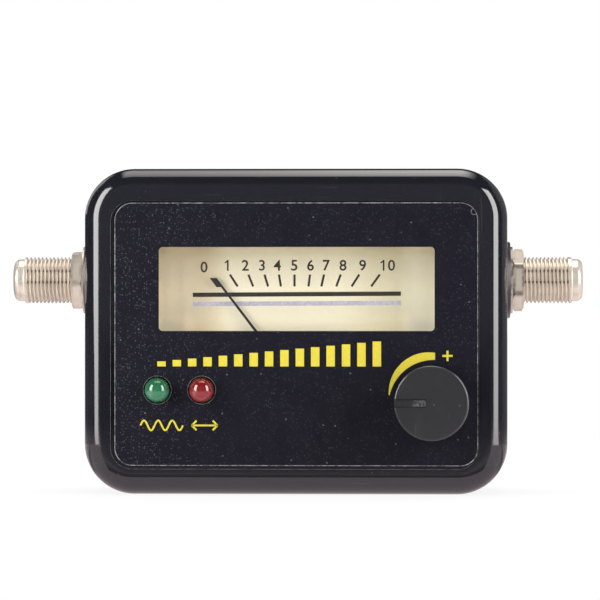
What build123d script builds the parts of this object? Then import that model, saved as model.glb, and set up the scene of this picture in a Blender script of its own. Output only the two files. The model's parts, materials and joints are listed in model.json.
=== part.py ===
from build123d import *
import math
import os

# A satellite signal meter: a moving coil meter, two signal lamps and a sensitivity knob in a
# two piece case, with a threaded aerial connector on each side.
# Lengths are millimetres. X is to the right, Y runs back from the front face and Z is up.
# The meter stands on the lower edge of its case, and the origin is at the bottom centre.
# A depth is a distance behind the front face, and a place (x, z) is measured from the case centre.

os.makedirs("parts", exist_ok=True)

# Case
case_width = 86.0
case_height = 66.2
case_depth = 30.0
case_corner_radius = 10.2
front_edge_radius = 4.5
rear_edge_radius = 3.0
side_wall = 2.2
front_wall = 2.4
rear_wall = 2.2
seam_depth = 17.0
tongue_thickness = 1.0
tongue_reach = 1.5
tongue_root = 2.5
tongue_clearance = 0.15
cut_overrun = 1.0

# Front label in its shallow recess
recess_depth = 0.5
recess_width = 74.6
recess_height = 54.4
recess_corner_radius = 4.4
recess_x = -0.1
recess_z = -0.65
label_thickness = 0.25
label_width = 73.4
label_height = 53.1
label_corner_radius = 3.5
label_x = 0.2
label_z = -0.55

# Screws that hold the case together from behind
screw_inset = 8.4
screw_radius = 1.45
screw_clearance = 0.15
screw_seat_depth = 22.0
screw_length = 14.0
screw_head_radius = 2.6
screw_head_height = 1.8
screw_crown_share = 0.6
screw_slot_width = 0.6
screw_slot_depth = 0.9
screw_tip_space = 1.5
boss_radius = 3.8

# Circuit board between the posts of the two shells
board_front_behind_seam = 0.5
board_thickness = 1.6
board_side_gap = 3.8
board_end_gap = 1.9
board_boss_gap = 0.5
post_radius = 2.0
pin_through = 0.8
pin_hole_clearance = 0.1

# Meter window and display tray
window_x = 0.3
window_z_share = 0.26
window_side_inset = 2.1
window_end_inset = 2.0
window_corner_radius = 0.8
window_label_gap = 0.05
window_margin = 0.3
window_clearance = 0.2
window_plate = 1.5
window_rim = 1.2
window_flange = 1.2
tray_width = 60.0
tray_height = 21.0
tray_wall = 1.2
tray_floor = 1.2
tray_ledge = 2.0
tray_ledge_height = 1.0
rib_thickness = 1.2
rib_length = 10.0
rib_clearance = 0.15

# Dial plate
dial_space = 1.3
dial_thickness = 0.4
dial_clearance = 0.4
dial_below_window = 1.6

# Moving coil movement, from the front bearing to the rear one
pivot_x = -0.26
pivot_below_window = 18.8
pointer_rest_angle = 37.4
pivot_radius = 0.35
bearing_clearance = 0.05
bridge_gap = 0.1
bridge_thickness = 0.8
bridge_half_height = 1.7
bridge_end_clearance = 0.2
bridge_screw_radius = 0.5
bridge_screw_length = 3.0
bridge_screw_head_radius = 1.0
bridge_screw_head_height = 0.5
spring_gap = 0.1
spring_height = 0.3
spring_strip = 0.12
spring_pitch = 0.48
spring_turns = 4
spring_collar_radius = 0.75
spring_collar_clearance = 0.02
spring_lug_width = 0.6
hub_gap = 0.1
hub_thickness = 0.4
hub_radius = 1.2
pivot_base_thickness = 0.4
pivot_base_radius = 1.2
winding_thickness = 0.6
former_thickness = 0.3
former_half_width = 5.5
coil_breadth = 3.0
core_gap = 0.5
core_length = 4.2
core_radius = 4.8
carrier_width = 1.6
carrier_seat = 0.8
yoke_inner_radius = 7.4
yoke_outer_radius = 9.0
yoke_seat_width = 1.1
bearing_floor = 1.0
bearing_end_gap = 0.2
movement_width = 26.0
movement_above_pivot = 12.0
movement_below_pivot = 11.8
movement_wall = 1.2
movement_floor = 1.2
movement_board_gap = 0.3
bridge_rest_gap = 0.4
bridge_rest_half_height = 1.8

# Pointer
pointer_space = 0.4
pointer_thickness = 0.15
pointer_width = 0.45
pointer_length = 27.2
pointer_flag_length = 2.35
pointer_flag_width = 1.15
pointer_flag_slope = 0.85
pointer_arm_width = 0.6
pointer_riser_radius = 3.0
pointer_riser_thickness = 0.4
tail_radius = 4.8
tail_weight_radius = 1.8
tail_weight_overhang = 0.2

# Terminals of the movement
terminal_radius = 0.4
terminal_x = 9.5
terminal_z = -9.6
terminal_head_radius = 0.8
terminal_head_height = 0.8

# Signal lamps
lamp_z_share = -0.358
green_lamp_x = -27.9
red_lamp_x = -18.9
lamp_radius = 2.5
lamp_length = 8.6
lamp_flange_radius = 2.9
lamp_flange = 1.0
lamp_seat_depth = 4.4
lamp_collar_radius = 3.9
lamp_clearance = 0.1
lamp_label_clearance = 0.35
lamp_lead_width = 0.5
lamp_lead_spacing = 2.54

# Sensitivity control and its knob
knob_x = 27.5
knob_above_screw = 10.5
knob_radius = 7.5
knob_reach = 9.5
knob_label_gap = 0.55
knob_edge = 0.45
knob_slot_length = 6.4
knob_slot_width = 1.75
knob_slot_depth = 0.45
knob_roof = 2.3
knob_fit = 0.02
shaft_radius = 3.0
shaft_flat = 1.5
shaft_flange_radius = 4.2
shaft_flange = 0.6
shaft_play = 0.1
shaft_clearance = 0.05
bushing_radius = 3.5
bushing_clearance = 0.2
bushing_sink = 0.4
control_radius = 8.0
control_wall = 0.8
control_front_depth = 12.0
control_front_wall = 1.0
control_rear_wall = 1.4
control_board_gap = 0.3
track_thickness = 0.8
track_hole_radius = 2.0
wiper_thickness = 0.4
wiper_radius = 5.5
wiper_finger_width = 1.0
wiper_finger_inner = 4.0
wiper_finger_outer = 6.5
wiper_gap = 0.05
control_pin_radius = 0.4
control_pin_spacing = 2.5
control_pin_offset = 5.5

# Aerial connectors, one on each side, centred on the seam
port_z_share = 0.3172
port_hole_clearance = 0.14
pad_radius = 8.1
pad_height = 0.9
pad_taper_degrees = 20
thread_radius = 4.76
thread_pitch = 0.794
thread_depth = 0.487
thread_length = 10.0
thread_flank_share = 0.85
thread_root_half_width = 0.05
thread_overcut = 0.02
thread_runout_turns = 0.75
tip_radius = 4.35
tip_length = 2.1
tip_round = 1.2
port_flange_radius = 6.3
port_flange = 1.5
port_spigot_radius = 3.8
port_spigot = 2.1
washer_radius = 6.9
washer_thickness = 0.5
washer_clearance = 0.1
nut_across_flats = 11.1
nut_thickness = 2.3
nut_clearance = 0.04
nut_chamfer = 0.35
nut_turn_degrees = {-1: 23, 1: 0}
insulator_radius = 2.9
insulator_recess = 0.5
insulator_face = 1.0
insulator_entry_radius = 0.65
insulator_clearance = 0.05
contact_radius = 1.05
contact_bore_radius = 0.55
contact_bore_length = 8.0
contact_end_wall = 3.0
contact_pin_radius = 0.45
contact_pin_overlap = 3.0

# Parts on the rear side of the circuit board
buzzer_radius = 6.0
buzzer_cover_gap = 0.7
buzzer_edge = 0.5
buzzer_sound_radius = 1.0
buzzer_sound_depth = 2.0
buzzer_pin_radius = 0.35
buzzer_pin_spacing = 6.5
buzzer_pin_reach = 0.3
capacitor_radius = 2.5
capacitor_cover_gap = 1.7
capacitor_edge = 0.4
chip_amplifier_length = 19.2
chip_amplifier_width = 6.4
chip_amplifier_height = 3.0
chip_amplifier_standoff = 0.3
chip_leg_count = 7
chip_leg_pitch = 2.54
chip_leg_width = 0.5
chip_leg_thickness = 0.25
chip_leg_reach = 1.4
chip_leg_height = 1.6
resistor_length = 2.0
resistor_width = 1.25
resistor_height = 0.5
ceramic_length = 2.0
ceramic_width = 1.25
ceramic_height = 1.0
choke_radius = 2.2
choke_height = 3.2
choke_waist_radius = 1.4
choke_rim = 0.6
transistor_length = 2.9
transistor_width = 1.3
transistor_height = 1.0

# Places on the board, as shares of its half width and half height. The window, the lamps and
# the connectors have their height as a share of the case's half height.
post_place_shares = [
    (-0.93, 0.10), (0.93, 0.10), (-0.54, 0.88), (0.54, 0.88), (-0.45, -0.90), (0.45, -0.90)
]
buzzer_place_share = (-0.56, 0.40)
amplifier_place_share = (0.06, 0.14)
capacitor_place_shares = [(0.40, 0.58), (0.62, 0.58), (-0.10, 0.66)]
choke_place_shares = [(-0.86, 0.44), (0.80, 0.30)]
transistor_place_shares = [(-0.22, -0.30), (-0.10, -0.30), (0.52, 0.10)]
resistor_column_shares = [0.10, 0.20, 0.30, 0.40]
resistor_row_shares = [-0.16, -0.28, -0.40]
ceramic_column_shares = [-0.60, -0.50, -0.40]
ceramic_row_shares = [-0.50, -0.62]

# Sizes that follow from the ones above
front_y = (knob_reach - case_depth) / 2
centre_z = case_height / 2
window_z = window_z_share * case_height / 2
window_width = tray_width - 2 * window_side_inset
window_height = tray_height - 2 * window_end_inset
pivot_z = window_z - pivot_below_window
lamp_z = lamp_z_share * case_height / 2
port_z = port_z_share * case_height / 2
inner_width = case_width - 2 * side_wall
inner_height = case_height - 2 * side_wall
inner_corner_radius = case_corner_radius - side_wall
screw_x = case_width / 2 - screw_inset
screw_z = case_height / 2 - screw_inset
screw_places = [(side * screw_x, end * screw_z) for side in (-1, 1) for end in (-1, 1)]
knob_z = knob_above_screw - screw_z
board_front = seam_depth + board_front_behind_seam
board_rear = board_front + board_thickness
board_width = inner_width - 2 * board_side_gap
board_height = inner_height - 2 * board_end_gap
board_notch_width = board_width / 2 - (screw_x - boss_radius - board_boss_gap)
board_notch_height = board_height / 2 - (screw_z - boss_radius - board_boss_gap)
pin_end_depth = board_rear + pin_through
rear_room = case_depth - rear_wall - board_rear
buzzer_height = rear_room - buzzer_cover_gap
capacitor_height = rear_room - capacitor_cover_gap

tray_front = front_wall + window_flange
dial_front = tray_front + dial_space
dial_rear = dial_front + dial_thickness
tray_floor_front = dial_rear + tray_ledge_height
tray_rear = tray_floor_front + tray_floor
tray_bottom = window_z - tray_height / 2
bridge_front = dial_rear + bridge_gap
bridge_rear = bridge_front + bridge_thickness
front_spring_depth = bridge_rear + spring_gap
hub_front = front_spring_depth + spring_height + hub_gap
hub_rear = hub_front + hub_thickness
coil_front = hub_rear + pivot_base_thickness
core_front = coil_front + winding_thickness + former_thickness + core_gap
core_rear = core_front + core_length
coil_rear = core_rear + core_gap + former_thickness + winding_thickness
rear_spring_depth = coil_rear + pivot_base_thickness + spring_gap
bearing_front = rear_spring_depth + spring_height + spring_gap
movement_rear = board_front - movement_board_gap
movement_floor_front = movement_rear - movement_floor
movement_half_width = movement_width / 2 - movement_wall
bearing_radius = pivot_radius + bearing_clearance
spring_outer_radius = spring_collar_radius + spring_turns * spring_pitch
bridge_screw_x = (yoke_outer_radius + bridge_rest_gap + movement_half_width) / 2
pointer_front = tray_front + pointer_space

control_rear = board_front - control_board_gap
control_cavity_front = control_front_depth + control_front_wall
control_cavity_rear = control_rear - control_rear_wall
control_cavity_radius = control_radius - control_wall
track_front = control_cavity_rear - track_thickness
shaft_front = knob_roof - knob_reach
shaft_flange_front = control_cavity_front + shaft_play
shaft_rear = shaft_flange_front + shaft_flange
wiper_rear = shaft_rear + wiper_thickness

port_hole_radius = thread_radius + port_hole_clearance
washer_start = pad_height
nut_start = washer_start + washer_thickness
thread_start = nut_start + nut_thickness
tip_start = thread_start + thread_length
tip_end = tip_start + tip_length
port_inner_end = -side_wall - port_flange - port_spigot
insulator_front = tip_end - insulator_recess
contact_front = insulator_front - insulator_face
contact_rear = contact_front - contact_bore_length - contact_end_wall
contact_pin_end = board_width / 2 - contact_pin_overlap - case_width / 2


def front_plane(depth, x=0, z=0):
    """A plane parallel to the front face, at a depth behind it, that looks out of the front."""
    return Plane(origin=(x, front_y + depth, centre_z + z), x_dir=(1, 0, 0), z_dir=(0, -1, 0))


def movement_plane(depth):
    """A plane like front_plane at the pivot, turned so that its y runs along the resting pointer."""
    turn = math.radians(pointer_rest_angle)
    return Plane(
        origin=(pivot_x, front_y + depth, centre_z + pivot_z),
        x_dir=(math.cos(turn), 0, math.sin(turn)),
        z_dir=(0, -1, 0),
    )


def axial_plane(x, z):
    """A plane through an axis square to the front: its x is the radius and its y the depth."""
    return Plane(origin=(x, front_y, centre_z + z), x_dir=(1, 0, 0), z_dir=(0, 0, 1))


def front_axis(x, z):
    """An axis square to the front, through a place."""
    return Axis((x, front_y, centre_z + z), (0, 1, 0))


def port_face_plane(side, reach):
    """A plane across a connector, at a reach outside the case's side face, that looks outward."""
    return Plane(
        origin=(side * (case_width / 2 + reach), front_y + seam_depth, centre_z + port_z),
        x_dir=(0, 0, 1),
        z_dir=(side, 0, 0),
    )


def port_profile_plane(side):
    """A plane through a connector's axis: its x is the reach outside the case, its y the radius."""
    return Plane(
        origin=(side * case_width / 2, front_y + seam_depth, centre_z + port_z),
        x_dir=(side, 0, 0),
        z_dir=(0, -side, 0),
    )


def port_axis(side):
    """The axis of a connector, which points outward."""
    return Axis((0, front_y + seam_depth, centre_z + port_z), (side, 0, 0))


def board_place(share):
    """A place on the board from its shares of the half width and half height."""
    return (share[0] * board_width / 2, share[1] * board_height / 2)


def board_grid(column_shares, row_shares):
    """Places on the board at every crossing of some columns and rows."""
    return [board_place((column, row)) for column in column_shares for row in row_shares]


def save(builder, name):
    """Label a finished piece and write it."""
    builder.part.label = name
    export_step(builder.part, f"parts/{name}.step")


post_places = [board_place(share) for share in post_place_shares]
lamp_places = {"green_led": (green_lamp_x, lamp_z), "red_led": (red_lamp_x, lamp_z)}
lead_places = [
    (x + side * lamp_lead_spacing / 2, z) for x, z in lamp_places.values() for side in (-1, 1)
]
terminal_places = [(pivot_x + side * terminal_x, pivot_z + terminal_z) for side in (-1, 1)]
control_pin_places = [
    (knob_x - control_pin_offset, knob_z + row * control_pin_spacing) for row in (-1, 0, 1)
]
buzzer_x, buzzer_z = board_place(buzzer_place_share)
buzzer_pin_places = [(buzzer_x + side * buzzer_pin_spacing / 2, buzzer_z) for side in (-1, 1)]

# Front shell of the case
with BuildPart() as front_cover:
    with BuildSketch(front_plane(0)):
        RectangleRounded(case_width, case_height, case_corner_radius)
    extrude(amount=-seam_depth)
    fillet(front_cover.faces().sort_by(Axis.Y)[0].edges(), front_edge_radius)
    for side in (-1, 1):
        with BuildSketch(port_face_plane(side, 0)):
            Circle(pad_radius)
        extrude(amount=pad_height, taper=pad_taper_degrees)
    with BuildSketch(front_plane(front_wall)):
        RectangleRounded(inner_width, inner_height, inner_corner_radius)
    extrude(amount=-case_depth, mode=Mode.SUBTRACT)
    for side in (-1, 1):
        with BuildSketch(port_face_plane(side, -side_wall - cut_overrun)):
            Circle(port_hole_radius)
        extrude(amount=side_wall + pad_height + 2 * cut_overrun, mode=Mode.SUBTRACT)
    split(bisect_by=front_plane(seam_depth), keep=Keep.TOP)
    with BuildSketch(front_plane(front_wall)):
        with Locations(*screw_places):
            Circle(boss_radius)
        with Locations(*lamp_places.values()):
            Circle(lamp_collar_radius)
    extrude(amount=-(lamp_seat_depth - front_wall))
    with BuildSketch(front_plane(front_wall)):
        with Locations(*screw_places):
            Circle(boss_radius)
    extrude(amount=-(seam_depth - front_wall))
    with BuildSketch(front_plane(front_wall)):
        with Locations(*post_places):
            Circle(post_radius)
    extrude(amount=-(board_front - front_wall))
    rib_offset = tray_width / 2 + rib_clearance + rib_thickness / 2
    with BuildSketch(front_plane(front_wall, window_x, window_z)):
        with Locations((-rib_offset, 0), (rib_offset, 0)):
            Rectangle(rib_thickness, rib_length)
    extrude(amount=-(tray_rear - front_wall))
    with BuildSketch(front_plane(recess_depth, recess_x, recess_z)):
        RectangleRounded(recess_width, recess_height, recess_corner_radius)
    extrude(amount=recess_depth + cut_overrun, mode=Mode.SUBTRACT)
    with BuildSketch(front_plane(front_wall, window_x, window_z)):
        RectangleRounded(
            window_width + 2 * (window_margin + window_clearance),
            window_height + 2 * (window_margin + window_clearance),
            window_corner_radius + window_margin,
        )
    extrude(amount=front_wall + cut_overrun, mode=Mode.SUBTRACT)
    with BuildSketch(front_plane(lamp_seat_depth)):
        with Locations(*lamp_places.values()):
            Circle(lamp_radius + lamp_clearance)
    extrude(amount=lamp_seat_depth + cut_overrun, mode=Mode.SUBTRACT)
    with BuildSketch(front_plane(front_wall, knob_x, knob_z)):
        Circle(bushing_radius + bushing_clearance)
    extrude(amount=front_wall + cut_overrun, mode=Mode.SUBTRACT)
    with BuildSketch(front_plane(seam_depth)):
        with Locations(*screw_places):
            Circle(screw_radius)
    screw_hole_depth = screw_length - (screw_seat_depth - seam_depth) + screw_tip_space
    extrude(amount=screw_hole_depth, mode=Mode.SUBTRACT)
save(front_cover, "front_cover")

# Rear shell of the case, with the tongue that locates it in the front one
with BuildPart() as rear_cover:
    with BuildSketch(front_plane(0)):
        RectangleRounded(case_width, case_height, case_corner_radius)
    extrude(amount=-case_depth)
    fillet(rear_cover.faces().sort_by(Axis.Y)[-1].edges(), rear_edge_radius)
    for side in (-1, 1):
        with BuildSketch(port_face_plane(side, 0)):
            Circle(pad_radius)
        extrude(amount=pad_height, taper=pad_taper_degrees)
    with BuildSketch(front_plane(0)):
        RectangleRounded(inner_width, inner_height, inner_corner_radius)
    extrude(amount=-(case_depth - rear_wall), mode=Mode.SUBTRACT)
    split(bisect_by=front_plane(seam_depth), keep=Keep.BOTTOM)
    tongue_width = inner_width - 2 * tongue_clearance
    tongue_height = inner_height - 2 * tongue_clearance
    tongue_corner_radius = inner_corner_radius - tongue_clearance
    with BuildSketch(front_plane(seam_depth)):
        RectangleRounded(inner_width, inner_height, inner_corner_radius)
        RectangleRounded(
            tongue_width - 2 * tongue_thickness,
            tongue_height - 2 * tongue_thickness,
            tongue_corner_radius - tongue_thickness,
            mode=Mode.SUBTRACT,
        )
    extrude(amount=-tongue_root)
    with BuildSketch(front_plane(seam_depth - tongue_reach)):
        RectangleRounded(tongue_width, tongue_height, tongue_corner_radius)
        RectangleRounded(
            tongue_width - 2 * tongue_thickness,
            tongue_height - 2 * tongue_thickness,
            tongue_corner_radius - tongue_thickness,
            mode=Mode.SUBTRACT,
        )
    extrude(amount=-(tongue_reach + tongue_root))
    for side in (-1, 1):
        with BuildSketch(port_face_plane(side, -side_wall)):
            Circle(port_flange_radius + port_hole_clearance)
        extrude(amount=-(tongue_thickness + cut_overrun), mode=Mode.SUBTRACT)
        with BuildSketch(port_face_plane(side, -side_wall - cut_overrun)):
            Circle(port_hole_radius)
        extrude(amount=side_wall + pad_height + 2 * cut_overrun, mode=Mode.SUBTRACT)
    with BuildSketch(front_plane(seam_depth)):
        with Locations(*screw_places):
            Circle(boss_radius)
    extrude(amount=-(case_depth - rear_wall - seam_depth))
    with BuildSketch(front_plane(board_rear)):
        with Locations(*post_places):
            Circle(post_radius)
    extrude(amount=-(case_depth - rear_wall - board_rear))
    with BuildSketch(front_plane(seam_depth - cut_overrun)):
        with Locations(*screw_places):
            Circle(screw_radius + screw_clearance)
    extrude(amount=-(screw_seat_depth - seam_depth + 2 * cut_overrun), mode=Mode.SUBTRACT)
    with BuildSketch(front_plane(screw_seat_depth)):
        with Locations(*screw_places):
            Circle(screw_head_radius + screw_clearance)
    extrude(amount=-case_depth, mode=Mode.SUBTRACT)
save(rear_cover, "rear_cover")

# Label film glued into the recess
with BuildPart() as front_label:
    with BuildSketch(front_plane(recess_depth - label_thickness)):
        with Locations((label_x, label_z)):
            RectangleRounded(label_width, label_height, label_corner_radius)
        with Locations((window_x, window_z)):
            RectangleRounded(window_width, window_height, window_corner_radius, mode=Mode.SUBTRACT)
        with Locations(*lamp_places.values()):
            Circle(lamp_radius + lamp_label_clearance, mode=Mode.SUBTRACT)
        with Locations((knob_x, knob_z)):
            Circle(bushing_radius + 2 * bushing_clearance, mode=Mode.SUBTRACT)
    extrude(amount=-label_thickness)
save(front_label, "front_label")

# Case screws
with BuildPart() as case_screws:
    for x, z in screw_places:
        with BuildSketch(axial_plane(x, z)):
            with BuildLine():
                Polyline(
                    (0, screw_seat_depth - screw_length),
                    (screw_radius / 2, screw_seat_depth - screw_length),
                    (screw_radius, screw_seat_depth - screw_length + screw_radius),
                    (screw_radius, screw_seat_depth),
                    (screw_head_radius, screw_seat_depth),
                    (screw_head_radius, screw_seat_depth + screw_head_height / 2),
                    (screw_head_radius * screw_crown_share, screw_seat_depth + screw_head_height),
                    (0, screw_seat_depth + screw_head_height),
                    close=True,
                )
            make_face()
        revolve(axis=front_axis(x, z))
        with BuildSketch(front_plane(screw_seat_depth + screw_head_height, x, z)):
            Rectangle(screw_head_radius, screw_slot_width)
            Rectangle(screw_slot_width, screw_head_radius)
        extrude(amount=screw_slot_depth, mode=Mode.SUBTRACT)
save(case_screws, "case_screws")

# Clear window of the meter, a shallow cap with a flange behind the front wall
with BuildPart() as meter_window:
    window_front = recess_depth + window_label_gap
    cap_width = window_width + 2 * window_margin
    cap_height = window_height + 2 * window_margin
    with BuildSketch(front_plane(window_front, window_x, window_z)):
        RectangleRounded(cap_width, cap_height, window_corner_radius)
    extrude(amount=-(tray_front - window_front))
    with BuildSketch(front_plane(front_wall, window_x, window_z)):
        Rectangle(tray_width, tray_height)
    extrude(amount=-window_flange)
    with BuildSketch(front_plane(window_front + window_plate, window_x, window_z)):
        Rectangle(cap_width - 2 * window_rim, cap_height - 2 * window_rim)
    extrude(amount=-case_depth, mode=Mode.SUBTRACT)
save(meter_window, "meter_window")

# Base of the meter: the display tray and, behind and below it, the box of the movement
with BuildPart() as meter_base:
    with BuildSketch(front_plane(tray_front, window_x, window_z)):
        Rectangle(tray_width, tray_height)
    extrude(amount=-(tray_rear - tray_front))
    movement_height = movement_above_pivot + movement_below_pivot
    movement_middle = pivot_z + (movement_above_pivot - movement_below_pivot) / 2
    with BuildSketch(front_plane(tray_front, pivot_x, movement_middle)):
        Rectangle(movement_width, movement_height)
    extrude(amount=-(movement_rear - tray_front))
    with BuildSketch(front_plane(tray_front, window_x, window_z)):
        Rectangle(tray_width - 2 * tray_wall, tray_height - 2 * tray_wall)
    extrude(amount=-(dial_rear - tray_front), mode=Mode.SUBTRACT)
    with BuildSketch(front_plane(tray_front, window_x, window_z)):
        Rectangle(tray_width - 2 * (tray_wall + tray_ledge), tray_height - 2 * (tray_wall + tray_ledge))
    extrude(amount=-(tray_floor_front - tray_front), mode=Mode.SUBTRACT)
    with BuildSketch(front_plane(tray_front, pivot_x, movement_middle)):
        Rectangle(2 * movement_half_width, movement_height - 2 * movement_wall)
    extrude(amount=-(movement_floor_front - tray_front), mode=Mode.SUBTRACT)
    with BuildSketch(front_plane(core_rear, pivot_x, pivot_z)):
        Circle(yoke_outer_radius)
        Circle(yoke_outer_radius - yoke_seat_width, mode=Mode.SUBTRACT)
    extrude(amount=-(movement_floor_front - core_rear))
    rest_width = movement_half_width - yoke_outer_radius - bridge_rest_gap
    with BuildSketch(front_plane(bridge_rear, pivot_x, pivot_z)):
        with Locations((-bridge_screw_x, 0), (bridge_screw_x, 0)):
            Rectangle(rest_width, 2 * bridge_rest_half_height)
    extrude(amount=-(movement_floor_front - bridge_rear))
    with BuildSketch(front_plane(bearing_front, pivot_x, pivot_z)):
        Circle(hub_radius)
    extrude(amount=-(movement_floor_front - bearing_front))
    with BuildSketch(front_plane(rear_spring_depth, pivot_x, pivot_z)):
        with Locations((spring_outer_radius + (spring_strip + spring_lug_width) / 2, 0)):
            Rectangle(spring_lug_width, spring_lug_width)
    extrude(amount=-(movement_floor_front - rear_spring_depth))
    with BuildSketch(front_plane(bearing_front, pivot_x, pivot_z)):
        Circle(bearing_radius)
    extrude(amount=-(movement_floor_front - bearing_front + bearing_floor), mode=Mode.SUBTRACT)
    with BuildSketch(front_plane(bridge_rear, pivot_x, pivot_z)):
        with Locations((-bridge_screw_x, 0), (bridge_screw_x, 0)):
            Circle(bridge_screw_radius)
    extrude(amount=-bridge_screw_length, mode=Mode.SUBTRACT)
    with BuildSketch(front_plane(movement_floor_front)):
        with Locations(*terminal_places):
            Circle(terminal_radius)
    extrude(amount=-(movement_floor + cut_overrun), mode=Mode.SUBTRACT)
save(meter_base, "meter_base")

# Printed dial plate on the ledges of the tray
with BuildPart() as dial_plate:
    dial_width = tray_width - 2 * (tray_wall + dial_clearance)
    dial_top = window_z + tray_height / 2 - tray_wall - dial_clearance
    dial_bottom = window_z - window_height / 2 - dial_below_window
    with BuildSketch(front_plane(dial_front, window_x, (dial_top + dial_bottom) / 2)):
        Rectangle(dial_width, dial_top - dial_bottom)
    extrude(amount=-dial_thickness)
    with BuildSketch(front_plane(dial_front, window_x, tray_bottom)):
        Rectangle(tray_width, 2 * (tray_wall + dial_clearance))
        with Locations((pivot_x - window_x, 0)):
            Rectangle(
                2 * (movement_half_width - dial_clearance),
                2 * (tray_wall + dial_clearance),
                mode=Mode.SUBTRACT,
            )
    extrude(amount=-dial_thickness, mode=Mode.SUBTRACT)
save(dial_plate, "dial_plate")

# Pointer: the hub, the cranked arm, the blade with its broad tip, and the balance weight
with BuildPart() as pointer:
    with BuildSketch(movement_plane(hub_front)):
        Circle(hub_radius)
        with Locations((0, (pointer_riser_radius - tail_radius) / 2)):
            Rectangle(pointer_arm_width, pointer_riser_radius + tail_radius)
    extrude(amount=-hub_thickness)
    with BuildSketch(movement_plane(pointer_front)):
        with Locations((0, pointer_riser_radius + pointer_riser_thickness / 2)):
            Rectangle(pointer_arm_width, pointer_riser_thickness)
    extrude(amount=-(hub_rear - pointer_front))
    with BuildSketch(movement_plane(pointer_front)):
        flag_left = pointer_width / 2 - pointer_flag_width
        flag_start = pointer_length - pointer_flag_length
        flag_meets_blade = flag_start - pointer_flag_slope * (1 - pointer_width / pointer_flag_width)
        with BuildLine():
            Polyline(
                (-pointer_arm_width / 2, pointer_riser_radius),
                (-pointer_width / 2, flag_meets_blade),
                (flag_left, flag_start),
                (flag_left, pointer_length),
                (pointer_width / 2, pointer_length - pointer_flag_slope),
                (pointer_arm_width / 2, pointer_riser_radius),
                close=True,
            )
        make_face()
    extrude(amount=-pointer_thickness)
    with BuildSketch(movement_plane(hub_front - tail_weight_overhang)):
        with Locations((0, -tail_radius)):
            Circle(tail_weight_radius)
    extrude(amount=-(hub_thickness + tail_weight_overhang + hub_gap))
    with BuildSketch(movement_plane(hub_front)):
        Circle(pivot_radius)
    extrude(amount=-hub_thickness, mode=Mode.SUBTRACT)
save(pointer, "pointer")

# Coil former, an aluminium band round the core
former_outer_half = former_half_width + former_thickness
former_middle_depth = (core_front + core_rear) / 2
former_outer_depth = core_length + 2 * (core_gap + former_thickness)
with BuildPart() as coil_former:
    with BuildSketch(movement_plane(former_middle_depth - former_outer_depth / 2)):
        Rectangle(2 * former_outer_half, coil_breadth)
    extrude(amount=-former_outer_depth)
    with BuildSketch(movement_plane(former_middle_depth - former_outer_depth / 2 + former_thickness)):
        Rectangle(2 * former_half_width, coil_breadth + 2 * cut_overrun)
    extrude(amount=-(former_outer_depth - 2 * former_thickness), mode=Mode.SUBTRACT)
save(coil_former, "coil_former")

# Winding on the former
with BuildPart() as coil_winding:
    with BuildSketch(movement_plane(coil_front)):
        Rectangle(2 * (former_outer_half + winding_thickness), coil_breadth)
    extrude(amount=-(coil_rear - coil_front))
    with BuildSketch(movement_plane(coil_front + winding_thickness)):
        Rectangle(2 * former_outer_half, coil_breadth + 2 * cut_overrun)
    extrude(amount=-(coil_rear - coil_front - 2 * winding_thickness), mode=Mode.SUBTRACT)
    corner_edges = coil_winding.edges().filter_by(Axis((0, 0, 0), movement_plane(0).y_dir))
    coil_middle = (pivot_x, front_y + former_middle_depth, centre_z + pivot_z)
    outer_edges = corner_edges.sort_by_distance(coil_middle)
    fillet(outer_edges[-4:], winding_thickness / 2)
save(coil_winding, "coil_winding")

# Pivot pins, each on a small foot glued to the winding
with BuildPart() as pivot_pins:
    with BuildSketch(movement_plane(bridge_front)):
        Circle(pivot_radius)
    extrude(amount=-(coil_front - bridge_front))
    with BuildSketch(movement_plane(hub_rear)):
        Circle(pivot_base_radius)
    extrude(amount=-pivot_base_thickness)
    with BuildSketch(movement_plane(coil_rear)):
        Circle(pivot_base_radius)
    extrude(amount=-pivot_base_thickness)
    with BuildSketch(movement_plane(coil_rear)):
        Circle(pivot_radius)
    extrude(amount=-(movement_floor_front + bearing_floor - bearing_end_gap - coil_rear))
save(pivot_pins, "pivot_pins")

# Core magnet
with BuildPart() as core_magnet:
    with BuildSketch(front_plane(core_front, pivot_x, pivot_z)):
        Circle(core_radius)
    extrude(amount=-core_length)
    with BuildSketch(front_plane((core_front + core_rear - carrier_width) / 2, pivot_x, pivot_z)):
        Rectangle(carrier_width, 2 * core_radius + 2 * cut_overrun)
    extrude(amount=-carrier_width, mode=Mode.SUBTRACT)
save(core_magnet, "core_magnet")

# Brass bar that carries the core in the yoke
with BuildPart() as core_carrier:
    with BuildSketch(front_plane((core_front + core_rear - carrier_width) / 2, pivot_x, pivot_z)):
        Rectangle(carrier_width, 2 * (yoke_inner_radius + carrier_seat))
    extrude(amount=-carrier_width)
save(core_carrier, "core_carrier")

# Yoke ring round the coil
with BuildPart() as magnet_yoke:
    with BuildSketch(front_plane(core_front, pivot_x, pivot_z)):
        Circle(yoke_outer_radius)
        Circle(yoke_inner_radius, mode=Mode.SUBTRACT)
    extrude(amount=-core_length)
    with BuildSketch(front_plane((core_front + core_rear - carrier_width) / 2, pivot_x, pivot_z)):
        Rectangle(carrier_width, 2 * (yoke_inner_radius + carrier_seat))
    extrude(amount=-carrier_width, mode=Mode.SUBTRACT)
save(magnet_yoke, "magnet_yoke")

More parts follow.
